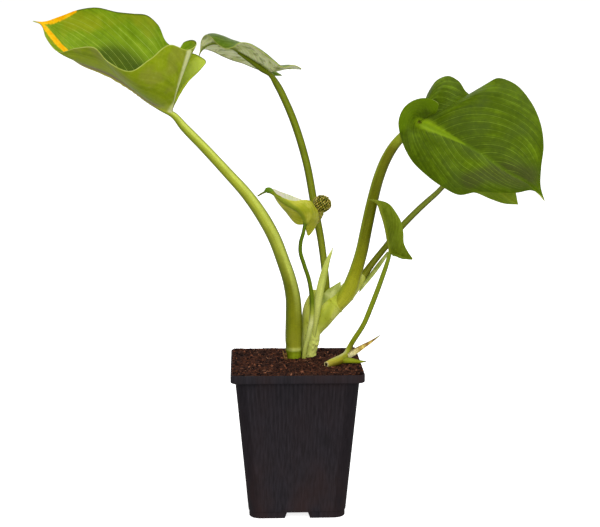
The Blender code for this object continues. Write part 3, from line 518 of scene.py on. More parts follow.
def blade(name, leaf, skins, veins=22, relief=0.09, marks=None):
    """A leaf: two half-blades welded along the midrib, with sunk veins, thickened underneath.

    Its UV map has the vein's course across and the share of its length up, and the second half
    lies two further on. The attribute rib is 1 on the midrib. marks names further attributes, each
    with the routes on which it is 1, for one half and for the other."""
    bm = bmesh.new()
    uv = bm.loops.layers.uv.new("leaf")
    rib_layer = bm.verts.layers.float.new("rib")
    ridge_layer = bm.verts.layers.float.new("ridge")
    sink_layer = bm.verts.layers.float.new("sink")
    marks = marks or {}
    for label in marks:
        bm.verts.layers.float.new(label)
    columns, rows = leaf["fine"]
    midrib = [(*point, RIDGE_WIDTH) for point in leaf["midrib"]]
    for side, half in enumerate(leaf["halves"]):
        grid = bmesh.ops.create_grid(bm, x_segments=columns, y_segments=rows, size=1)["verts"]
        at = (np.array([vertex.co for vertex in grid]) + 1) / 2
        q, v = at[:, 0], at[:, 1]
        new_faces = list({face for vertex in grid for face in vertex.link_faces})
        for face in new_faces:
            for loop in face.loops:
                share = (loop.vert.co + Vector((1, 1, 0))) / 2
                loop[uv].uv = (vein_course(share.x, share.y) + 2 * side, share.y)
        if side:
            bmesh.ops.reverse_faces(bm, faces=new_faces)
        points = half_blade(leaf, half, q, v)
        rib = closeness(points, midrib)
        # The ridge runs out over the last seventh, and the grooves fade at the margin and the rib
        taper = np.clip((1 - q) * 7, 0, 1)
        groove = np.abs((vein_course(q, v) * veins) % 1.0 - 0.5) * 2
        fade = np.clip((1 - v) * 6, 0, 1) * np.clip(v * 5, 0, 1) * (1 - rib)
        sink = relief * (groove ** 3 - 0.25) * fade
        for index, vertex in enumerate(grid):
            vertex.co = points[index]
            vertex[rib_layer] = rib[index]
            vertex[ridge_layer] = rib[index] * taper[index]
            vertex[sink_layer] = sink[index]
        for label, routes in marks.items():
            layer = bm.verts.layers.float[label]
            for route in routes[side]:
                for vertex, share in zip(grid, closeness(points, route)):
                    vertex[layer] = max(vertex[layer], share)
    bmesh.ops.remove_doubles(bm, verts=bm.verts, dist=WELD)
    bmesh.ops.dissolve_degenerate(bm, edges=bm.edges, dist=WELD)
    bm.normal_update()
    up = Vector(leaf["up"])
    if sum(face.normal.dot(up) * face.calc_area() for face in bm.faces) < 0:
        bmesh.ops.reverse_faces(bm, faces=bm.faces)
    bm.normal_update()
    for vertex in bm.verts:
        if not vertex.is_boundary:
            vertex.co -= vertex.normal * vertex[sink_layer]
    ridge = [vertex[ridge_layer] for vertex in bm.verts]
    made = finish(name, bm, skins, [name])
    group = made.vertex_groups.new(name="ridge")
    for index, share in enumerate(ridge):
        group.add([index], share, "REPLACE")
    shell = made.modifiers.new("thickness", "SOLIDIFY")
    shell.thickness = leaf["ridge"] * MM
    shell.offset = -1
    shell.vertex_group = "ridge"
    shell.thickness_vertex_group = BLADE / leaf["ridge"]
    shell.material_offset = 1
    shell.material_offset_rim = 2
    bake_modifiers(made, 60)
    return made


def waxy_stalk(name, size, along, sides=(), hatch=0.12):
    """Skin of a living leaf stalk: smooth and waxy with a soft gloss, with fine fibres running
    lengthwise and a faint cross hatching of cells. along is its colours from the base up. Each of
    sides is a colour laid along one flank, which on the petioles and the peduncle is painted shade
    or a painted highlight: the colour, how much it shows, where round the stalk it lies, how narrow
    it is and, for some, between which shares of the length it fades in. hatch is how much the cells
    lighten and darken it."""
    length, girth = size
    made, tree, shader = start(name, Roughness=0.34, **SAPPY)
    uv = add(tree, "UVMap", uv_map="UVMap")
    around, up, _ = add(tree, "SeparateXYZ", uv).node.outputs
    colour = add(tree, "ValToRGB", up, stops=along)
    # Painted light and shade: each of sides lays a colour along one flank of the stalk
    for shade, share, centre, narrow, *fades_in in sides:
        turn = add(tree, "Math", around, centre, operation="SUBTRACT")
        wave = add(tree, "Math", turn, 2 * math.pi, operation="MULTIPLY")
        facing = add(tree, "Math", wave, operation="COSINE")
        amount = add(tree, "MapRange", facing, narrow, 1.0, 0.0, share, interpolation_type="SMOOTHSTEP")
        if fades_in:
            fade = add(tree, "MapRange", up, *fades_in, interpolation_type="SMOOTHSTEP")
            amount = add(tree, "Math", amount, fade, operation="MULTIPLY")
        colour = add(tree, "Mix", amount, colour, shade, data_type="RGBA")
    # Fibres are 0.35 mm apart and run 25 mm, cells are 2 mm round and 0.4 mm long, and blotches
    # are 5 mm round and 12 mm long
    patterns, tones = [], []
    for across, onward, detail, least, most in (
            (0.35, 25, 3.0, 0.86, 1.12), (2.0, 0.4, 1.0, 1 - hatch, 1 + hatch), (5, 12, 2.0, 0.88, 1.1)):
        laid = add(tree, "Mapping", uv, Scale=(girth / across, length / onward, 1))
        patterns.append(add(tree, "TexNoise", laid, 1.0, detail))
        tones.append(add(tree, "MapRange", patterns[-1], 0.3, 0.7, least, most))
    both = add(tree, "Math", tones[0], tones[1], operation="MULTIPLY")
    value = add(tree, "Math", both, tones[2], operation="MULTIPLY")
    painted = add(tree, "HueSaturation", Color=colour, Value=value)
    grain = add(tree, "Math", patterns[0], patterns[1], operation="ADD")
    dress(tree, shader, painted, grain, 0.25)
    return made


def leaf_skin(name, lamina, vein, rib, veins=22, strength=0.6, rim=None, mark=None, stains=(),
              roughness=0.36, wave=12.0, tint=None, flecks=None):
    """A living leaf's surface: a smooth waxy skin over arching parallel veins. The veins show as
    thin paler lines with finer ones between them, the midrib is paler still, and the skin between
    is a little clouded, as chlorophyll never lies quite even. lamina is its three colours from dark
    to light, rim the colour of the margin, mark the colours along the marked routes, and tint a
    colour that lies in soft patches. Each of stains is an attribute, its colour and how much it
    shows, and flecks are a colour, their size in millimetres and how far apart they lie."""
    made, tree, shader = start(name, Roughness=roughness, IOR=1.4, Specular_IOR_Level=0.07,
                               Subsurface_Weight=0.15, Subsurface_Scale=MM,
                               Subsurface_Radius=(0.7, 1.0, 0.2))
    place = add(tree, "TexCoord").node.outputs["Object"]
    uv = add(tree, "UVMap", uv_map="leaf")
    across, out, _ = add(tree, "SeparateXYZ", uv).node.outputs
    # Clouds of 14 mm, mottle of 2.5 mm and cells of 0.5 mm
    cloud, mottle, cells = (add(tree, "TexNoise", place, 1 / (size * MM), detail)
                            for size, detail in ((14, 2.0), (2.5, 3.0), (0.5, 1.0)))
    mixed = add(tree, "Mix", 0.35, cloud, mottle)
    # Streaks follow the veins: about forty of them round the margin, each up to half a vein long
    courses = add(tree, "Mapping", uv, Scale=(40, 2, 1))
    streaks = add(tree, "TexNoise", courses, 1.0, 3.0)
    veined = add(tree, "Mix", 0.45, mixed, streaks)
    spread = add(tree, "MapRange", veined, 0.34, 0.66, 0.0, 1.0)
    colour = add(tree, "ValToRGB", spread, stops=evenly(lamina))
    if tint:
        patch = add(tree, "TexNoise", place, 1 / (wave * MM), 1.0)
        colour = lay_over(tree, colour, tint[0], patch, (0.48, 0.68), (0.0, tint[1]))
    if flecks:
        spots = add(tree, "TexNoise", place, 1 / (flecks[1] * MM), 2.0)
        colour = lay_over(tree, colour, flecks[0], spots, (flecks[2], flecks[2] + 0.1), (0.0, 0.5))
    for attribute, stain, most in stains:
        reach = add(tree, "Attribute", attribute_name=attribute).node.outputs["Fac"]
        wander = add(tree, "Math", mottle, 0.4, reach, operation="MULTIPLY_ADD")
        colour = lay_over(tree, colour, stain, wander, (0.2, 0.9), (0.0, most))
    lines = []
    for count, width, amount in ((veins, 0.16, strength), (veins * 4, 0.35, strength * 0.3)):
        pitch = add(tree, "Math", across, float(count), operation="MULTIPLY")
        part = add(tree, "Math", pitch, operation="FRACT")
        off = add(tree, "Math", part, 0.5, operation="SUBTRACT")
        away = add(tree, "Math", off, operation="ABSOLUTE")
        lines.append(add(tree, "MapRange", away, 0.5 - width / 2, 0.5, 0.0, amount,
                         interpolation_type="SMOOTHSTEP"))
    both = add(tree, "Math", *lines, operation="MAXIMUM")
    ends = add(tree, "MapRange", out, 0.8, 0.99, 1.0, 0.1)
    faint = add(tree, "MapRange", mixed, 0.38, 0.62, 0.2, 1.0)
    shown = add(tree, "Math", both, ends, operation="MULTIPLY")
    shown = add(tree, "Math", shown, faint, operation="MULTIPLY")
    colour = add(tree, "Mix", shown, colour, vein, data_type="RGBA")
    near = add(tree, "Attribute", attribute_name="rib").node.outputs["Fac"]
    colour = lay_over(tree, colour, rib[0], near, (0.15, 0.8), (0.0, rib[1]))
    if rim:
        colour = lay_over(tree, colour, rim[0], out, (rim[1], 1.0), (0.0, 1.0))
    if mark:
        along = add(tree, "Attribute", attribute_name="yellow").node.outputs["Fac"]
        wander = add(tree, "Math", mottle, 0.5, operation="SUBTRACT")
        moved = add(tree, "Math", wander, 0.5, along, operation="MULTIPLY_ADD")
        fleck = add(tree, "ValToRGB", mottle, stops=mark[0])
        colour = lay_over(tree, colour, fleck, moved, mark[1:], (0.0, 1.0))
    grain = add(tree, "Math", shown, -1.5, cells, operation="MULTIPLY_ADD")
    dress(tree, shader, colour, grain, 0.3)
    gloss = add(tree, "MapRange", mottle, 0.3, 0.7, roughness - 0.05, roughness + 0.08)
    tree.links.new(gloss, shader.inputs["Roughness"])
    return made


def flesh(name, colours, size, roughness=0.42, specks=None, stretch=(1, 1, 1), low=None):
    """Plant tissue without veins, such as a rhizome, a membrane or a husk: matt to satin, its
    colour clouded at the given size in millimetres, with small dry specks where it has them. low
    is a colour laid on low down as painted light, and the heights between which that fades."""
    made, tree, shader = start(name, Roughness=roughness, **SAPPY)
    place = add(tree, "TexCoord").node.outputs["Object"]
    laid = add(tree, "Mapping", place, Scale=stretch)
    cloud = add(tree, "TexNoise", laid, 1 / (size * MM), 4.0)
    spread = add(tree, "MapRange", cloud, 0.3, 0.7, 0.0, 1.0)
    colour = add(tree, "ValToRGB", spread, stops=evenly(colours))
    # Painted light: the low colour lightens the tissue low down
    if low:
        height = add(tree, "SeparateXYZ", place).node.outputs[2]
        colour = lay_over(tree, colour, low[0], height, (low[1] * MM, low[2] * MM), (0.8, 0.0))
    if specks:
        dots = add(tree, "TexNoise", place, 1 / (specks[1] * MM), 2.0)
        colour = lay_over(tree, colour, specks[0], dots, (specks[2], specks[2] + 0.07), (0.0, 0.85))
    dress(tree, shader, colour, cloud, 0.3, 0.2)
    return made


def moulded_polypropylene():
    """Black polypropylene, injection moulded: a satin near-black with a faint bluish cast, dulled by
    a film of dried peat dust that is thickest under the rim and on the foot, with fine scuffs, and
    with painted shade that makes the flute grooves and the corners blacker."""
    made, tree, shader = start("moulded_black_polypropylene", IOR=1.49, Specular_IOR_Level=0.05)
    place = add(tree, "TexCoord").node.outputs["Object"]
    height = add(tree, "SeparateXYZ", place).node.outputs[2]
    # Dust lies in clouds of 18 mm, drawn out downwards as it was rinsed, with grit of 0.6 mm, and
    # scuffs are 0.9 mm wide and run up and down
    drawn = add(tree, "Mapping", place, Scale=(1, 1, 0.45))
    film = add(tree, "TexNoise", drawn, 1 / (18 * MM), 5.0)
    grit = add(tree, "TexNoise", place, 1 / (0.6 * MM), 2.0)
    rub = add(tree, "Mapping", place, Scale=(1, 1, 0.06))
    scuff = add(tree, "TexNoise", rub, 1 / (0.9 * MM), 3.0)
    black = add(tree, "ValToRGB", scuff, stops=[(0.35, "#242124"), (0.65, "#302c31")])
    # Painted shade: the grooves of the flutes and the corners are painted blacker than the ridges and the
    # flat faces
    lit_amount = add(tree, "Attribute", attribute_name="lit_share").node.outputs["Fac"]
    black = lay_over(tree, black, "#151317", lit_amount, (0.0, 1.0), (0.55, 0.0), "LINEAR")
    low = add(tree, "MapRange", height, 0.0, 45 * MM, 0.75, 0.12)
    high = add(tree, "MapRange", height, 88 * MM, 100 * MM, 0.0, 0.4)
    reach = add(tree, "Math", low, high, operation="ADD")
    thick = add(tree, "MapRange", film, 0.36, 0.7, 0.0, 1.0)
    dust = add(tree, "Math", reach, thick, operation="MULTIPLY")
    colour = add(tree, "Mix", dust, black, "#3c2a27", data_type="RGBA")
    colour = lay_over(tree, colour, "#4a3c36", grit, (0.7, 0.76), (0.0, 0.5), "LINEAR")
    dress(tree, shader, colour, scuff, 0.2)
    gloss = add(tree, "MapRange", film, 0.3, 0.7, 0.5, 0.7)
    tree.links.new(gloss, shader.inputs["Roughness"])
    return made


def damp_peat():
    """Milled sphagnum peat, watered in: dull dark red-brown crumbs, darker where it is wet in the
    hollows, with paler dry fibre on the crests."""
    made, tree, shader = start("damp_milled_peat", Roughness=0.92, IOR=1.4, Specular_IOR_Level=0.1)
    place = add(tree, "TexCoord").node.outputs["Object"]
    # Damp patches of 12 mm, crumbs of 1.6 mm and fibre ends of 0.5 mm
    damp, crumb, fibre = (add(tree, "TexNoise", place, 1 / (size * MM), detail)
                          for size, detail in ((12, 3.0), (1.6, 4.0), (0.5, 1.0)))
    mixed = add(tree, "Mix", 0.65, damp, crumb)
    colour = add(tree, "ValToRGB", mixed,
                 stops=[(0.34, "#160b08"), (0.48, "#2e1a14"), (0.58, "#482819"), (0.7, "#6e402b")])
    colour = lay_over(tree, colour, "#8a5f48", fibre, (0.66, 0.74), (0.0, 0.7), "LINEAR")
    dress(tree, shader, colour, crumb, 0.7, 0.6)
    return made


def peat_litter():
    """The loose bits on the peat: crumbs, bark and root fibre, matt, each of one colour between
    near black and straw, which its own tint picks."""
    made, tree, shader = start("peat_litter", Roughness=0.88, IOR=1.4, Specular_IOR_Level=0.1)
    own = add(tree, "Attribute", attribute_name="tint").node.outputs["Fac"]
    place = add(tree, "TexCoord").node.outputs["Object"]
    grain = add(tree, "TexNoise", place, 1 / (0.4 * MM), 2.0)
    wander = add(tree, "MapRange", grain, 0.3, 0.7, -0.07, 0.07)
    pick = add(tree, "Math", own, wander, operation="ADD")
    dress(tree, shader, add(tree, "ValToRGB", pick, stops=[
        (0.0, "#170e0d"), (0.35, "#33201b"), (0.6, "#553326"), (0.75, "#7d4a33"), (0.88, "#a9765a"),
        (1.0, "#d8c3a0")]))
    return made


def square_point(half, radius, column):
    """A point round a square with rounded corners, and which way it faces. column is the quarter
    turn, whether it lies on the corner or on the side after it, and its share of the way."""
    turn, on_corner, share = column
    angle = (turn + (share if on_corner else 1.0)) * math.pi / 2
    out = Vector((math.cos(angle), math.sin(angle)))
    corner = Matrix.Rotation(turn * math.pi / 2, 2) @ Vector((half - radius, half - radius))
    point = corner + radius * out
    if not on_corner:
        onward = Vector((-out.y, out.x))
        point += onward * 2 * (half - radius) * share
    return point, out


def square_columns(side_steps):
    """The columns round the square: each corner, then the side that follows it."""
    columns = []
    for turn in range(4):
        columns += [(turn, True, step / CORNER_STEPS) for step in range(CORNER_STEPS)]
        columns += [(turn, False, step / side_steps) for step in range(side_steps)]
    return columns + [(0, True, 0.0)]


def block(low, high, top_width=None):
    """A box between two corners, its top narrowed across X where top_width is given."""
    bm = bmesh.new()
    bmesh.ops.create_cube(bm, size=1)
    size = [b - a for a, b in zip(low, high)]
    middle = [(a + b) / 2 for a, b in zip(low, high)]
    bmesh.ops.scale(bm, vec=size, verts=bm.verts)
    if top_width:
        top = [v for v in bm.verts if v.co.z > 0]
        bmesh.ops.scale(bm, vec=(top_width / size[0], 1, 1), verts=top)
    bmesh.ops.translate(bm, vec=middle, verts=bm.verts)
    return bm


def work_on_pot(pot, shape, operation):
    """Joins to the pot, or cuts out of it, a block on each of its four sides."""
    tools = []
    for turn in range(4):
        bm = shape()
        bmesh.ops.rotate(bm, matrix=Matrix.Rotation(turn * math.pi / 2, 3, "Z"), verts=bm.verts)
        bmesh.ops.scale(bm, vec=(MM, MM, MM), verts=bm.verts)
        tool = as_object("tool", bm)
        boolean = pot.modifiers.new("tool", "BOOLEAN")
        boolean.operation = operation
        boolean.object = tool
        tools.append(tool)
    bake_modifiers(pot, 35)
    for tool in tools:
        bpy.data.objects.remove(tool)


def pot_rings():
    """The pot's section: half-width, corner radius and height, from the foot up the outside, over
    the rim and down the inside, and which of the rings are fluted."""
    foot = FOOT_HALF - FOOT_INSET
    under_rim = POT_HEIGHT - RIM_DROP
    inner_corner = BODY_CORNER - WALL
    rim_inside = RIM_HALF - WALL
    rings = [(foot - 0.5, BODY_CORNER - 0.4, 0), (foot, BODY_CORNER, 0.5),
             (foot, BODY_CORNER, FOOT_HEIGHT - 0.2)]
    first = len(rings)
    for share in (0.0, 0.01, 0.03, 0.2, 0.4, 0.6, 0.75, 0.88, 0.95, 0.985, 1.0):
        rings.append((FOOT_HALF + (BODY_HALF_TOP - FOOT_HALF) * share, BODY_CORNER,
                      FOOT_HEIGHT + 0.3 + (under_rim - 0.3 - FOOT_HEIGHT) * share))
    # The sides are plain for a little way above the foot and below the rim
    fluted = range(first + 2, len(rings) - 1)
    rings += [(BODY_HALF_TOP + 0.5, BODY_CORNER - 0.4, under_rim),
              (RIM_HALF - RIM_EDGE, RIM_CORNER, under_rim),
              (RIM_HALF, RIM_CORNER, under_rim + RIM_EDGE),
              (RIM_HALF, RIM_CORNER, POT_HEIGHT - RIM_EDGE),
              (RIM_HALF - RIM_EDGE / 3, RIM_CORNER, POT_HEIGHT - RIM_EDGE / 3),
              (RIM_HALF - RIM_EDGE, RIM_CORNER - RIM_EDGE, POT_HEIGHT),
              (rim_inside + RIM_EDGE, RIM_CORNER - WALL, POT_HEIGHT),
              (rim_inside, RIM_CORNER - WALL, POT_HEIGHT - RIM_EDGE),
              (rim_inside, RIM_CORNER - WALL, under_rim + WALL),
              (BODY_HALF_TOP - WALL, inner_corner, under_rim - WALL), (foot - WALL, inner_corner, WALL)]
    return rings, fluted


def make_pot():
    """The pot: fluted sides between a rim with eased edges and an inset foot with four notches."""
    foot = FOOT_HALF - FOOT_INSET
    side_height = POT_HEIGHT - RIM_DROP - FOOT_HEIGHT
    rings, fluted = pot_rings()
    columns = square_columns(FLUTES * FLUTE_STEPS)
    bm = bmesh.new()
    lit_share = bm.verts.layers.float.new("lit_share")
    across, up = len(columns) - 1, len(rings) - 1
    grid = bmesh.ops.create_grid(bm, x_segments=across, y_segments=up, size=1)["verts"]
    for vertex in grid:
        column = columns[round((vertex.co.x + 1) / 2 * across)]
        level = round((vertex.co.y + 1) / 2 * up)
        half, radius, z = rings[level]
        point, out = square_point(half, radius, column)
        on_side = not column[1]
        if on_side and level in fluted:
            # Flutes are faint at the foot and deepest under the rim
            reach = 0.2 + 0.8 * ((z - FOOT_HEIGHT) / side_height) ** 2
            groove = 0.5 - 0.5 * math.cos(2 * math.pi * FLUTES * column[2])
            point -= out * FLUTE_DEPTH * reach * groove
            # Painted shade: a groove gets a low lit share, which the material paints blacker
            vertex[lit_share] = 1 - groove * reach
        # Plain sides, the rim and the inside get a middling lit share; the corners below them keep none and
        # get the most painted shade
        elif on_side or level >= fluted.stop:
            vertex[lit_share] = 0.6
        vertex.co = (*point, z)
    close_up(bm, grid)
    bmesh.ops.recalc_face_normals(bm, faces=bm.faces)
    pot = finish("pot", bm, [moulded_polypropylene()], ["pot"])
    roof = NOTCH_HEIGHT + POCKET_ROOF
    back = -foot + POCKET_DEPTH
    work_on_pot(pot, lambda: block((-POCKET_WIDTH / 2, -foot + 0.6, 0.5), (POCKET_WIDTH / 2, back, roof)),
                "UNION")
    work_on_pot(pot, lambda: block((-NOTCH_WIDTH / 2, -foot - 3, -1),
                                   (NOTCH_WIDTH / 2, back - WALL, NOTCH_HEIGHT), NOTCH_TOP_WIDTH),
                "DIFFERENCE")
    work_on_pot(pot, lambda: block((-SLOT_WIDTH / 2, -foot + 5, NOTCH_HEIGHT - 1),
                                   (SLOT_WIDTH / 2, -foot + 5 + SLOT_LENGTH, roof + 1)), "DIFFERENCE")


def peat_height(x, y):
    """How high the peat lies: a low crown, clods of 9 mm, lumps of 3 mm and grit of 1.2 mm, and a
    bank along the right-hand edge."""
    reach = max(abs(x), abs(y)) / PEAT_HALF
    clods = noise.noise((x / 9, y / 9, 3.1)) * 1.0
    lumps = noise.noise((x / 3, y / 3, 7.7)) * 0.75
    grit = abs(noise.noise((x / 1.2, y / 1.2, 1.9))) * 0.7
    bank = 1.7 * max(0.0, (x - 22) / 22) ** 2 * max(0.0, min(1.0, 0.8 - y / 30))
    return PEAT_TOP + 0.9 * (1 - reach) + (clods + lumps) * (1 - 0.45 * reach ** 4) + grit + bank - 0.35


def make_peat():
    """The root ball's top: a grid laid over the pot's inside, its skirt hanging down the wall."""
    bm = bmesh.new()
    grid = bmesh.ops.create_grid(bm, x_segments=PEAT_GRID, y_segments=PEAT_GRID, size=1)["verts"]
    core = PEAT_HALF - PEAT_CORNER
    for vertex in grid:
        x, y = vertex.co.x * PEAT_HALF, vertex.co.y * PEAT_HALF
        over = Vector((max(abs(x) - core, 0.0), max(abs(y) - core, 0.0)))
        if over.x > 0 and over.y > 0:
            fold = max(over) / over.length
            x = math.copysign(core + over.x * fold, x)
            y = math.copysign(core + over.y * fold, y)
        vertex.co = (x, y, peat_height(x, y))
    rim = [edge for edge in bm.edges if edge.is_boundary]
    skirt = bmesh.ops.extrude_edge_only(bm, edges=rim)["geom"]
    low = [item for item in skirt if isinstance(item, bmesh.types.BMVert)]
    bmesh.ops.scale(bm, vec=(PEAT_TAPER, PEAT_TAPER, 1), verts=low)
    for vertex in low:
        vertex.co.z = POT_HEIGHT - PEAT_DEPTH
    bmesh.ops.holes_fill(bm, edges=[edge for edge in bm.edges if edge.is_boundary], sides=0)
    bmesh.ops.recalc_face_normals(bm, faces=bm.faces)
    finish("peat", bm, [damp_peat()], ["soil"], 75)


def make_litter():
    """Loose crumbs and root fibres that lie on the peat and on the pot's rim."""
    rng = np.random.default_rng(SEED)
    litter = peat_litter()
    bm = bmesh.new()
    shade = bm.verts.layers.float.new("tint")
    for _ in range(CRUMBS):
        x, y = rng.uniform(-1, 1, 2) * (RIM_HALF - 0.9)
        # Most crumbs are well under a millimetre
        size = 0.35 + 1.0 * rng.random() ** 3
        tint = rng.random() ** 1.8 * 0.82
        made = bmesh.ops.create_icosphere(bm, subdivisions=1, radius=size)["verts"]
        bmesh.ops.scale(bm, vec=(1, rng.uniform(0.5, 1), rng.uniform(0.4, 0.8)), verts=made)
        turn = Matrix.Rotation(rng.uniform(0, 6.3), 3, Vector(rng.normal(size=3)))
        bmesh.ops.rotate(bm, matrix=turn, verts=made)
        for vertex in made:
            vertex.co *= rng.uniform(0.8, 1.2)
            vertex[shade] = tint
        lies_at = max(peat_height(x, y), POT_HEIGHT) + size * 0.1
        bmesh.ops.translate(bm, vec=(x, y, lies_at), verts=made)
    finish("peat_crumbs", bm, [litter], sharp=30)
    bm = bmesh.new()
    inside = RIM_HALF - 1.5
    for _ in range(FIBRES):
        x, y = rng.uniform(-1, 1, 2) * (RIM_HALF - 5)
        heading, bend = rng.uniform(0, 6.3), rng.uniform(-0.5, 0.5)
        reach, radius = rng.uniform(2, 6.5), rng.uniform(0.09, 0.2)
        route = []
        for step in range(5):
            rise = 0.15 + 0.5 * rng.random() * (step % 2)
            route.append((x, y, peat_height(x, y) + rise, radius * (1 - step * 0.15)))
            heading += bend
            x = float(np.clip(x + math.cos(heading) * reach / 4, -inside, inside))
            y = float(np.clip(y + math.sin(heading) * reach / 4, -inside, inside))
        tube(bm, route, 6, 4, tint=0.35 + 0.55 * rng.random())
    finish("peat_fibres", bm, [litter], sharp=60)


def make_stalk(name, shape, skin, rings=110, sides=40, ribs=18, rib_height=0.035, stands_for=None):
    """One stalk with its lengthwise ribs; skin is its colours from the base up and what else it has."""
    bm = bmesh.new()
    route = shape["route"] + shape.get("run_on", [])
    size = tube(bm, route, rings, sides, shape.get("flat", 1.0), ribs, rib_height)
    bmesh.ops.recalc_face_normals(bm, faces=bm.faces)
    if "pit" in shape:
        hollow_end(bm, shape["route"][0], *shape["pit"])
    replaced = [name] if stands_for is None else stands_for
    return finish(name, bm, [waxy_stalk(f"{name}_skin", size, **skin)], replaced)


def hollow_end(bm, first, wall, depth):
    """Sinks the pith of a cut stalk's first end. The pit takes the stalk's very first colour."""
    uv = bm.loops.layers.uv["UVMap"]
    caps = [face for face in bm.faces if len(face.verts) > 4]
    cap = min(caps, key=lambda face: (face.calc_center_median() - Vector(first[:3])).length)
    ring = bmesh.ops.inset_region(bm, faces=[cap], thickness=wall, depth=0)["faces"]
    for face in ring:
        for loop in face.loops:
            loop[uv].uv.y = CUT_SHARE
    floor = bmesh.ops.inset_region(bm, faces=[cap], thickness=wall / 2, depth=-depth)["faces"]
    for face in [cap, *floor]:
        for loop in face.loops:
            loop[uv].uv.y = 0.0


def melt(name, bm, skin, replaces, lumps):
    """A body of several grown-together parts: their union on a fine voxel grid, smoothed, then
    pushed out along its normals by the height that lumps gives each point."""
    made = finish(name, bm, [skin], replaces)
    remesh = made.modifiers.new("grow together", "REMESH")
    remesh.mode = "VOXEL"
    remesh.voxel_size = MELT_VOXEL * MM
    bake_modifiers(made)
    bm = bmesh.new()
    bm.from_mesh(made.data)
    for _ in range(MELT_ROUNDS):
        bmesh.ops.smooth_vert(bm, verts=bm.verts, factor=0.5, use_axis_x=True, use_axis_y=True,
                              use_axis_z=True)
    bm.normal_update()
    for vertex, height in [(vertex, lumps(vertex.co / MM)) for vertex in bm.verts]:
        vertex.co += vertex.normal * height * MM
    bm.to_mesh(made.data)
    bm.free()
    if not made.data.materials:
        made.data.materials.append(skin)
    made.data.shade_smooth()
    return made


def crown_lumps(at):
    """The crown's skin: a nodular foot, leaf scars round the stem and the arm, and fine unevenness."""
    foot = max(0.0, min(1.0, (119 - at.z) / 8)) * max(0.0, min(1.0, (at.x - 8) / 4))
    nodules = 0.9 * foot * max(0.0, noise.noise(at / 2.4) + 0.15)
    along = (at - Vector((12.6, 14.2, 116))).dot(Vector((0.72, 0.16, 0.68)))
    scars = 0.0
    for place, depth in ((24.5, 0.4), (36.0, 0.35)):
        scars += depth * math.exp(-((along - place) / 0.7) ** 2)
    return nodules + scars + 0.12 * noise.noise(at / 5)


def make_crown():
    """The upright rhizome and its arm, grown together, with leaf scars round them."""
    bm = bmesh.new()
    tube(bm, CROWN_STEM["route"], 40, 28)
    tube(bm, CROWN_ARM["route"], 40, 28)
    bmesh.ops.recalc_face_normals(bm, faces=bm.faces)
    # low paints light over the crown's foot, which lies in shade between the stalks
    skin = flesh("rhizome_skin", ("#a0aa2c", "#bac240", "#d2d66c"), 7,
                 specks=("#6b5a20", 1.1, 0.64), stretch=(1, 1, 0.4), low=("#e6ee7c", 112, 128))
    melt("crown", bm, skin, ["crown"], crown_lumps)


def membrane(name, edges, skin, bulge=0.9, stands_for=()):
    """A thin clasping skin between two edges, a little wavy, closed all round."""
    bm = bmesh.new()
    bm.loops.layers.uv.new("UVMap")
    grid = bmesh.ops.create_grid(bm, x_segments=SHEATH_COLUMNS, y_segments=SHEATH_ROWS, size=1,
                                 calc_uvs=True)["verts"]
    for vertex in grid:
        t, s = (vertex.co.x + 1) / 2, (vertex.co.y + 1) / 2
        first, second = (Vector(spline(edge, np.array([t]))[0]) for edge in edges)
        point = first.lerp(second, s)
        point.y -= bulge * math.sin(math.pi * s) + 0.2 * math.sin(9 * t + 3 * s)
        vertex.co = point
    bmesh.ops.recalc_face_normals(bm, faces=bm.faces)
    made = finish(name, bm, [skin], stands_for)
    shell = made.modifiers.new("thickness", "SOLIDIFY")
    shell.thickness = SHEATH * MM
    shell.offset = 0
    bake_modifiers(made, 60)


def make_spadix():
    """The club of florets: beads on a golden-angle spiral over a core, each with a dimpled tip,
    and a few more of them down the stipe."""
    bm = bmesh.new()
    shade = bm.verts.layers.float.new("tint")
    centre = Vector(SPADIX_CENTRE)
    core = bmesh.ops.create_icosphere(bm, subdivisions=3, radius=CORE_RADIUS)["verts"]
    bmesh.ops.scale(bm, vec=(1, 1, SPADIX_SQUASH), verts=core)
    bmesh.ops.translate(bm, vec=centre, verts=core)
    # Painted shade: the core's tint of -1 paints it dark between the beads
    for vertex in core:
        vertex[shade] = -1.0
    tube(bm, STIPE["route"], 24, 16)
    golden = math.pi * (3 - math.sqrt(5))
    places = []
    for i in range(FLORETS):
        height = 1 - 2 * (i + 0.5) / FLORETS
        ring = math.sqrt(1 - height * height)
        out = Vector((ring * math.cos(golden * i), ring * math.sin(golden * i), height))
        # The club is a little lumpy
        reach = SPADIX_RADIUS - 0.1 + 0.6 * noise.noise(out * 2.6)
        places.append((centre + Vector((out.x, out.y, out.z * SPADIX_SQUASH)) * reach, out, 1.0))
    stem = spline(STIPE["route"], np.linspace(0.55, 1.0, STIPE_FLORETS))
    for i, row in enumerate(stem):
        out = Vector((math.cos(golden * i), math.sin(golden * i), 0.1))
        places.append((Vector(row[:3]) + out * row[3], out, 0.7))
    for i, (place, out, share) in enumerate(places):
        bead = bmesh.ops.create_icosphere(bm, subdivisions=2, radius=FLORET_RADIUS * share)["verts"]
        for vertex in bead:
            lift = vertex.co.z / (FLORET_RADIUS * share)
            # The tip's tint paints the brown stigma; the foot's tint below zero is painted shade where the
            # beads meet
            vertex[shade] = max(0.0, lift) ** 6 - max(0.0, 0.35 - lift) * 1.6
            vertex.co.z *= 1.15 - 0.35 * max(0.0, lift) ** 8
        turn = Vector((0, 0, 1)).rotation_difference(out).to_matrix()
        bmesh.ops.rotate(bm, matrix=turn, verts=bead)
        bmesh.ops.translate(bm, vec=place, verts=bead)
    bmesh.ops.recalc_face_normals(bm, faces=bm.faces)
    finish("spadix", bm, [floret_skin()], ["spadix"], 80)


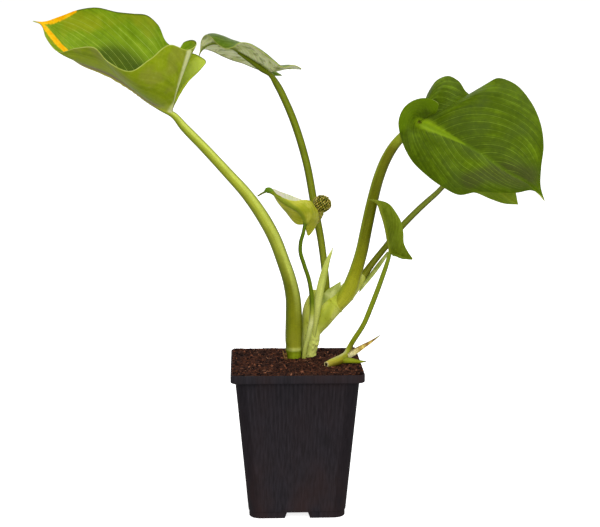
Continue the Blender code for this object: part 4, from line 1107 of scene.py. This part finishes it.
def floret_skin():
    """Unripe pistils: small smooth olive-green beads with a brown stigma at each tip, glossy
    enough that every bead carries its own small highlight."""
    made, tree, shader = start("floret_skin", Roughness=0.34, IOR=1.42, Specular_IOR_Level=0.3,
                               Subsurface_Weight=0.1, Subsurface_Scale=MM)
    place = add(tree, "TexCoord").node.outputs["Object"]
    # Clouds of 2.2 mm, so that neighbouring beads differ
    cloud = add(tree, "TexNoise", place, 1 / (2.2 * MM), 2.0)
    colour = add(tree, "ValToRGB", cloud, stops=[(0.35, "#6c7006"), (0.5, "#9a941c"), (0.65, "#dccc62")])
    tip = add(tree, "Attribute", attribute_name="tint").node.outputs["Fac"]
    colour = lay_over(tree, colour, "#5a4a18", tip, (0.25, 0.7), (0.0, 0.75), "LINEAR")
    # Painted shade: between the beads and on the core, where the tint is below zero, the club is painted
    # dark
    colour = lay_over(tree, colour, "#2a2406", tip, (-0.3, 0.1), (1.0, 0.0), "LINEAR")
    dress(tree, shader, colour)
    return made


def make_leaves():
    """The five leaf blades, each with its own upper skin, under skin and margin."""
    edge = flesh("leaf_margin", ("#8c9a2c", "#bcc264"), 5, roughness=0.4)

    # Painted sheen: a purplish grey along the keel of the under skin
    keel_sheen = [[(*point, 10.0) for point in LEAF_LEFT["midrib"]]]
    # Painted shade: the upper skin deep in the cup is painted darker
    cup_shade = [[(-90, -8, 280, 10), (-104, -2, 294, 18), (-116, -2, 302, 18), (-132, -8, 304, 9)]]
    at_tip, below_tip = (-165, -20, 327.6, 2.2), (-158, -20, 319, 3.2)
    marks = {
        "yellow": ([[at_tip, below_tip, (-151, -20.4, 312, 3.4), (-143, -21, 306, 2.6)]],
                   [[at_tip, below_tip, (-151, -20, 312, 3.2), (-143, -19.6, 306, 2.4)],
                    [(-164, -19.6, 327.4, 3.0), (-158, -15.5, 329, 4.4), (-151, -10.4, 331.2, 3.4),
                     (-143, -4.8, 334.4, 1.6)]]),
        "keel_sheen": (keel_sheen, keel_sheen),
        "cup_shade": (cup_shade, cup_shade),
        # Painted light: on this leaf hub lightens the far half's basal lobe, which lies in shade, and the
        # skins round the hub
        "hub": ([[(-82, -12, 269, 15), (-84, -14, 275, 9)]],
                [[(-76, -6, 280, 9), (-70, 3, 290, 14), (-62, 8, 299, 12)]]),
        # Painted highlight: a pale line along the fold of the near half
        "fold_highlight": ([one_vein(LEAF_LEFT, 0, 0.335, 3.4)], []),
    }
    yellow = [(0.3, "#f2a200"), (0.5, "#f6b800"), (0.62, "#f7c41e"), (0.72, "#e8791a")]
    upper = leaf_skin("leaf_left_upper", ("#5f7a04", "#74920c", "#8ba51c"), "#b4c65a", ("#a4b82c", 0.6),
                      rim=("#4f5f0c", 0.975), mark=(yellow, 0.12, 0.45), tint=("#9a9a14", 0.5), wave=16,
                      stains=[("cup_shade", "#3c5000", 0.9), ("hub", "#b2c242", 0.95)])
    under = leaf_skin("leaf_left_under", ("#748606", "#889a0e", "#9cac1a"), "#a4b238", ("#c0bc30", 0.85),
                      strength=0.3, rim=("#b6c050", 0.985), tint=("#8c883c", 0.4), roughness=0.42, wave=13,
                      stains=[("keel_sheen", "#8c7c66", 0.8), ("hub", "#aaba2c", 0.8), ("fold_highlight", "#dbe09c", 0.95)])
    blade("blade_left", LEAF_LEFT, [upper, under, edge], marks=marks)

    wedge = [[(81, -8, 262, 7), (86, -10, 260, 6.5), (92, -12.6, 257.4, 4.4), (101, -17, 253, 2.4),
              (110, -22, 248.4, 0.6)]]
    # Painted sheen: patch lays a dark grey over the blade towards the tip
    patch = [[(112, -33, 226, 9), (122, -36, 230, 8), (134, -38, 231, 13), (147, -41, 229, 11)]]
    # Painted shade: the hollow under the curled lobe is painted near black
    hollow = [[(85, -9, 267, 4), (89, -9, 270, 6), (93, -6, 275, 5)]]
    curl = [[(90, -23, 274, 8), (82, -21, 277, 10), (73, -16, 272, 10), (68, -13, 262, 8)]]
    upper = leaf_skin("leaf_right_upper", ("#3d5000", "#4b6001", "#607a04"), "#88a234", ("#5f7a0c", 0.5),
                      rim=("#5f7012", 0.98), tint=("#455618", 0.4), wave=18,
                      stains=[("curl", "#658204", 0.7), ("hollow", "#263606", 0.85),
                              ("hub", "#94b212", 0.7), ("patch", "#41461c", 0.75)])
    under = leaf_skin("leaf_right_under", ("#4a5c08", "#56690c", "#66781a"), "#7a8c2c", ("#868c24", 0.8),
                      strength=0.25, tint=("#62603a", 0.5), roughness=0.44)
    blade("blade_right", LEAF_RIGHT, [upper, under, edge], marks={
        "hub": (wedge, wedge), "patch": (patch, patch), "hollow": (hollow, []), "curl": ([], curl)})

    stem = [[(-13, 50, 290, 4.6), (-22, 49.5, 298, 4.0), (-32, 48, 305, 2.6), (-38, 46, 308.5, 1)]]
    # Painted sheen: the flap by the hub is painted pale on both skins
    flap_sheen = [[(-6, 36, 295.6, 7), (5, 27, 296.5, 8), (1, 22, 299, 6)]]
    lower = [[(-22, 30, 300, 9), (-32, 26, 305, 10), (-42, 20, 308, 7)]]
    upper = leaf_skin("leaf_back_upper", ("#425800", "#506a06", "#657c14"), "#94a840", ("#7c8c1c", 0.6),
                      rim=("#5a6a1c", 0.97), stains=[("flap_sheen", "#d8deac", 0.8)])
    under = leaf_skin("leaf_back_under", ("#c0c880", "#e2e6b0", "#f2f4d4"), "#a0ac58", ("#6a7a0c", 0.9),
                      rim=("#7c8450", 0.94), tint=("#a9b448", 0.6), roughness=0.5, wave=9,
                      flecks=("#6a7836", 5.5, 0.52),
                      stains=[("stem", "#566408", 0.95), ("low", "#b8b438", 0.7), ("flap_sheen", "#e4e8c8", 0.8)])
    blade("blade_back", LEAF_BACK, [upper, under, edge],
          marks={"stem": (stem, stem), "flap_sheen": (flap_sheen, []), "low": (lower, [])})

    upper = leaf_skin("leaf_slim_upper", ("#586e0a", "#6a7e14", "#7c9024"), "#8c9c34", ("#7c8c1c", 0.6),
                      veins=14)
    under = leaf_skin("leaf_slim_under", ("#566a0e", "#687c16", "#7c8e28"), "#8a9a3c", ("#7c8824", 0.7),
                      veins=14, strength=0.25)
    blade("blade_slim", LEAF_SLIM, [upper, under, edge], veins=14)
    upper = leaf_skin("leaf_small_upper", ("#74a034", "#88b850", "#a4cc72"), "#b4cc84", ("#8e9a40", 0.6),
                      veins=14, strength=0.4, tint=("#96ac6c", 0.5), wave=10)
    under = leaf_skin("leaf_small_under", ("#58640a", "#687812", "#7a8a22"), "#88963a", ("#8c942c", 0.7),
                      veins=14, strength=0.3)
    blade("blade_small", LEAF_SMALL, [upper, under, edge], veins=14)


def make_spathe():
    """The folded spathe: white inside, yellow-green outside, drawn out to a green knob and a thread."""
    edge = flesh("spathe_margin", ("#c9cc7a", "#dcdc9a"), 5, roughness=0.4)
    inside = leaf_skin("spathe_inside", ("#c9cfa0", "#dcdcc0", "#e9e6d6"), "#c4cf94",
                       ("#b4c26a", 0.5), veins=12, strength=0.35, tint=("#dccfd0", 0.4), wave=6)
    outside = leaf_skin("spathe_outside", ("#9a9c18", "#b0b032", "#c8c855"), "#98a020",
                       ("#74841a", 0.85), veins=12, strength=0.35, tint=("#8a9410", 0.6), wave=8)
    blade("spathe", SPATHE, [inside, outside, edge], veins=12, relief=0.05)
    make_stalk("spathe_tip", SPATHE_TIP, {
        "along": [(0.0, "#6c8c1c"), (0.45, "#5e8012"), (0.6, "#56701c"), (0.72, "#5c6244"),
                  (1.0, "#5c5c4c")]}, 60, 20, 5, 0.04, ())


def make_shoots():
    """The rolled young leaf, the cut offshoot and its two scale leaves."""
    make_stalk("spear_leaf", SPEAR, {
        "along": [(0.0, "#d0d66c"), (0.4, "#d2d872"), (0.75, "#c0ca58"), (0.93, "#ced66e"),
                  (1.0, "#e8ecc4")],
        "sides": [("#8c9a2c", 0.7, 0.0, 0.2)]}, 90, 32, 3, 0.05)
    make_stalk("offshoot", OFFSHOOT, {
        "along": [(0.0, "#3a2a10"), (0.004, "#3a2a10"), (CUT_SHARE, "#dccf92"), (0.02, "#b0a03c"),
                  (0.05, "#a89c34"), (0.25, "#a29c22"), (0.7, "#949a20"), (1.0, "#828c14")],
        "sides": [("#3c2c08", 0.85, 0.0, -0.1, 0.0, 0.08), ("#6a5414", 0.5, 0.22, 0.85, 0.05, 0.15),
                  ("#c0be50", 0.6, 0.46, 0.8, 0.03, 0.1)]}, 60, 36, 9, 0.05)
    make_stalk("scale_green", SCALE_GREEN, {
        "along": [(0.0, "#8c921c"), (0.4, "#a4ae24"), (0.85, "#8c9818"), (1.0, "#2c2412")],
        "sides": [("#5c6408", 0.6, 0.5, 0.2)]}, 50, 28, 7, 0.05)
    make_stalk("scale_brown", SCALE_BROWN, {
        "along": [(0.0, "#e4dcae"), (0.25, "#e8dc96"), (0.4, "#b0923a"), (0.48, "#e4cc6c"), (0.6, "#8c6428"),
                  (0.7, "#d8bc58"), (0.82, "#7c5a28"), (0.9, "#a8a044"), (1.0, "#4a4420")],
        "sides": [("#6c4a20", 0.7, 0.5, 0.5)], "hatch": 0.45}, 60, 28, 7, 0.06)


def make_stalks():
    """The five petioles and the peduncle."""
    # Painted light and shade: the dark colours at 0.5 and 0.97 round the stalk are painted shade on its
    # flanks, the pale one at 0.12 is a painted highlight, and the along stops from 0.38 up are lightened by
    # painted highlight too
    make_stalk("petiole_left", PETIOLE_LEFT, {
        "along": [(0.0, "#7f9010"), (0.044, "#8c9e18"), (0.048, "#c8cf6c"), (0.056, "#a2a42c"),
                  (0.12, "#848812"), (0.24, "#767a0e"), (0.38, "#aab23a"), (0.6, "#acb434"),
                  (1.0, "#9cac2c")],
        "sides": [("#5c6a04", 0.8, 0.5, 0.1), ("#ccd65e", 0.85, 0.12, 0.6, 0.1, 0.3),
                  ("#566404", 0.75, 0.97, 0.4)]}, 260)
    # Painted shade: the dark colours at 0.5 and 0.0 round the stalk darken both its flanks
    make_stalk("petiole_back", PETIOLE_BACK, {
        "along": [(0.0, "#8c9020"), (0.3, "#868e1c"), (0.6, "#747f0c"), (1.0, "#6c7a08")],
        "sides": [("#464e02", 0.8, 0.5, 0.3), ("#464e02", 0.8, 0.0, 0.4)]})
    # Painted light and shade: the pale colour at 0.46 round the stalk is painted light along one flank, and
    # the dark one at 0.02 is painted shade on the other
    make_stalk("petiole_right", PETIOLE_RIGHT, {
        "along": [(0.0, "#b8b840"), (0.08, "#b4b62a"), (0.2, "#8c8e10"), (0.35, "#6a6e06"), (0.6, "#666a08"),
                  (0.69, "#6c6c0c"), (0.73, "#98a428"), (1.0, "#a8b430")],
        "sides": [("#8c9a20", 0.7, 0.46, 0.7), ("#4c5004", 0.5, 0.02, 0.4, 0.1, 0.3)]})
    # Painted shade: the dark colours at 0.0 and 0.5 round the stalk darken both its flanks
    make_stalk("petiole_slim", PETIOLE_SLIM, {
        "along": [(0.0, "#c0c250"), (0.12, "#a4a82c"), (0.25, "#74780e"), (0.5, "#6c780c"),
                  (1.0, "#94a044")],
        "sides": [("#4c4606", 0.8, 0.0, 0.0), ("#5a5c08", 0.6, 0.5, 0.5)]})
    # Painted shade: the dark colour at 0.0 round the stalk darkens one flank
    make_stalk("petiole_small", PETIOLE_SMALL, {
        "along": [(0.0, "#8c961a"), (0.4, "#84921a"), (1.0, "#7c8e20")],
        "sides": [("#56620a", 0.7, 0.0, 0.1)]}, 80, 24, 9, 0.02)
    # Painted light and shade: the pale along stops from 0.22 to 0.33 are a painted highlight, and the dark
    # colours at 0.5 and 0.0 round the stalk are painted shade on its flanks
    make_stalk("peduncle", PEDUNCLE, {
        "along": [(0.0, "#b2ba48"), (0.1, "#bcc45e"), (0.22, "#ccd478"), (0.27, "#e0e494"),
                  (0.33, "#aab440"), (0.4, "#6c800c"), (0.7, "#5c740a"), (1.0, "#566e0c")],
        "sides": [("#34440a", 0.75, 0.5, 0.2, 0.2, 0.4), ("#34440a", 0.6, 0.0, 0.6, 0.2, 0.4)]},
               120, 28, 9, 0.02)


def make_sheaths():
    """The two clasping membranes, thin and pale with dark dots, and the husk at the left base."""
    skin = flesh("sheath_membrane", ("#88983e", "#a6b054", "#c6cc7c"), 2.6,
                 specks=("#7c7c4a", 0.9, 0.64), stretch=(0.35, 1, 0.35))
    membrane("sheath_mid", SHEATH_MID, skin, stands_for=["sheath_mid"])
    membrane("sheath_right", SHEATH_RIGHT, skin, stands_for=["sheath_right"])
    husk = flesh("dry_husk", ("#4a3018", "#7c5a30", "#b08c58"), 1.6, roughness=0.7)
    membrane("base_husk", HUSK, husk, 0.3)


def make_studio():
    """A plain pale floor under soft light, and the camera at the photograph's angle."""
    scene = bpy.context.scene
    scene.view_settings.view_transform = "Standard"
    world = bpy.data.worlds.new("studio")
    scene.world = world
    world.use_nodes = True
    tree = world.node_tree
    backdrop = tree.nodes["Background"]
    backdrop.inputs[0].default_value = linear("#ffffff")
    seen = add(tree, "LightPath")
    strength = add(tree, "MapRange", seen, 0.0, 1.0, 0.58, 1.05)
    tree.links.new(strength, backdrop.inputs[1])

    # The floor, 60 m across, reaches past what the camera sees
    bm = bmesh.new()
    bmesh.ops.create_circle(bm, cap_ends=True, segments=96, radius=30)
    floor = as_object("floor", bm)
    paper = start("white_paper", Roughness=0.9, Base_Color=linear("#f4f4f4"),
                  Emission_Color=linear("#ffffff"), Emission_Strength=0.8)[0]
    floor.data.materials.append(paper)
    # The paper glows white for the eye only, so that it doesn't light the leaves from below
    floor.visible_diffuse = False
    floor.visible_glossy = False

    lamps = [("key_softbox", (-0.1, -1.35, 0.75), 0.9, 9), ("top_softbox", (0.45, -0.25, 1.3), 0.9, 5.5),
             ("fill_softbox", (0.9, -1.1, 0.5), 1.0, 0.5), ("back_softbox", (0.1, 1.3, 0.8), 1.2, 2.5)]
    for name, place, size, power in lamps:
        light = bpy.data.lights.new(name, "AREA")
        light.size = size
        light.energy = power
        lamp = bpy.data.objects.new(name, light)
        lamp.location = place
        lamp.rotation_euler = (Vector((0, 0, 0.2)) - Vector(place)).to_track_quat("-Z", "Y").to_euler()
        scene.collection.objects.link(lamp)

    # The camera stands 1 m off, where the pot and the leaves line up with the photograph
    data = bpy.data.cameras.new("camera")
    data.lens = 90
    data.sensor_width = 36
    camera = bpy.data.objects.new("camera", data)
    camera.location = (-0.035, -0.996, 0.319)
    camera.rotation_euler = (math.radians(90 - 8.66), 0, math.radians(-2.18))
    scene.collection.objects.link(camera)
    scene.camera = camera


make_studio()
make_pot()
make_peat()
make_litter()
make_crown()
make_stalks()
make_leaves()
make_spathe()
make_spadix()
make_shoots()
make_sheaths()
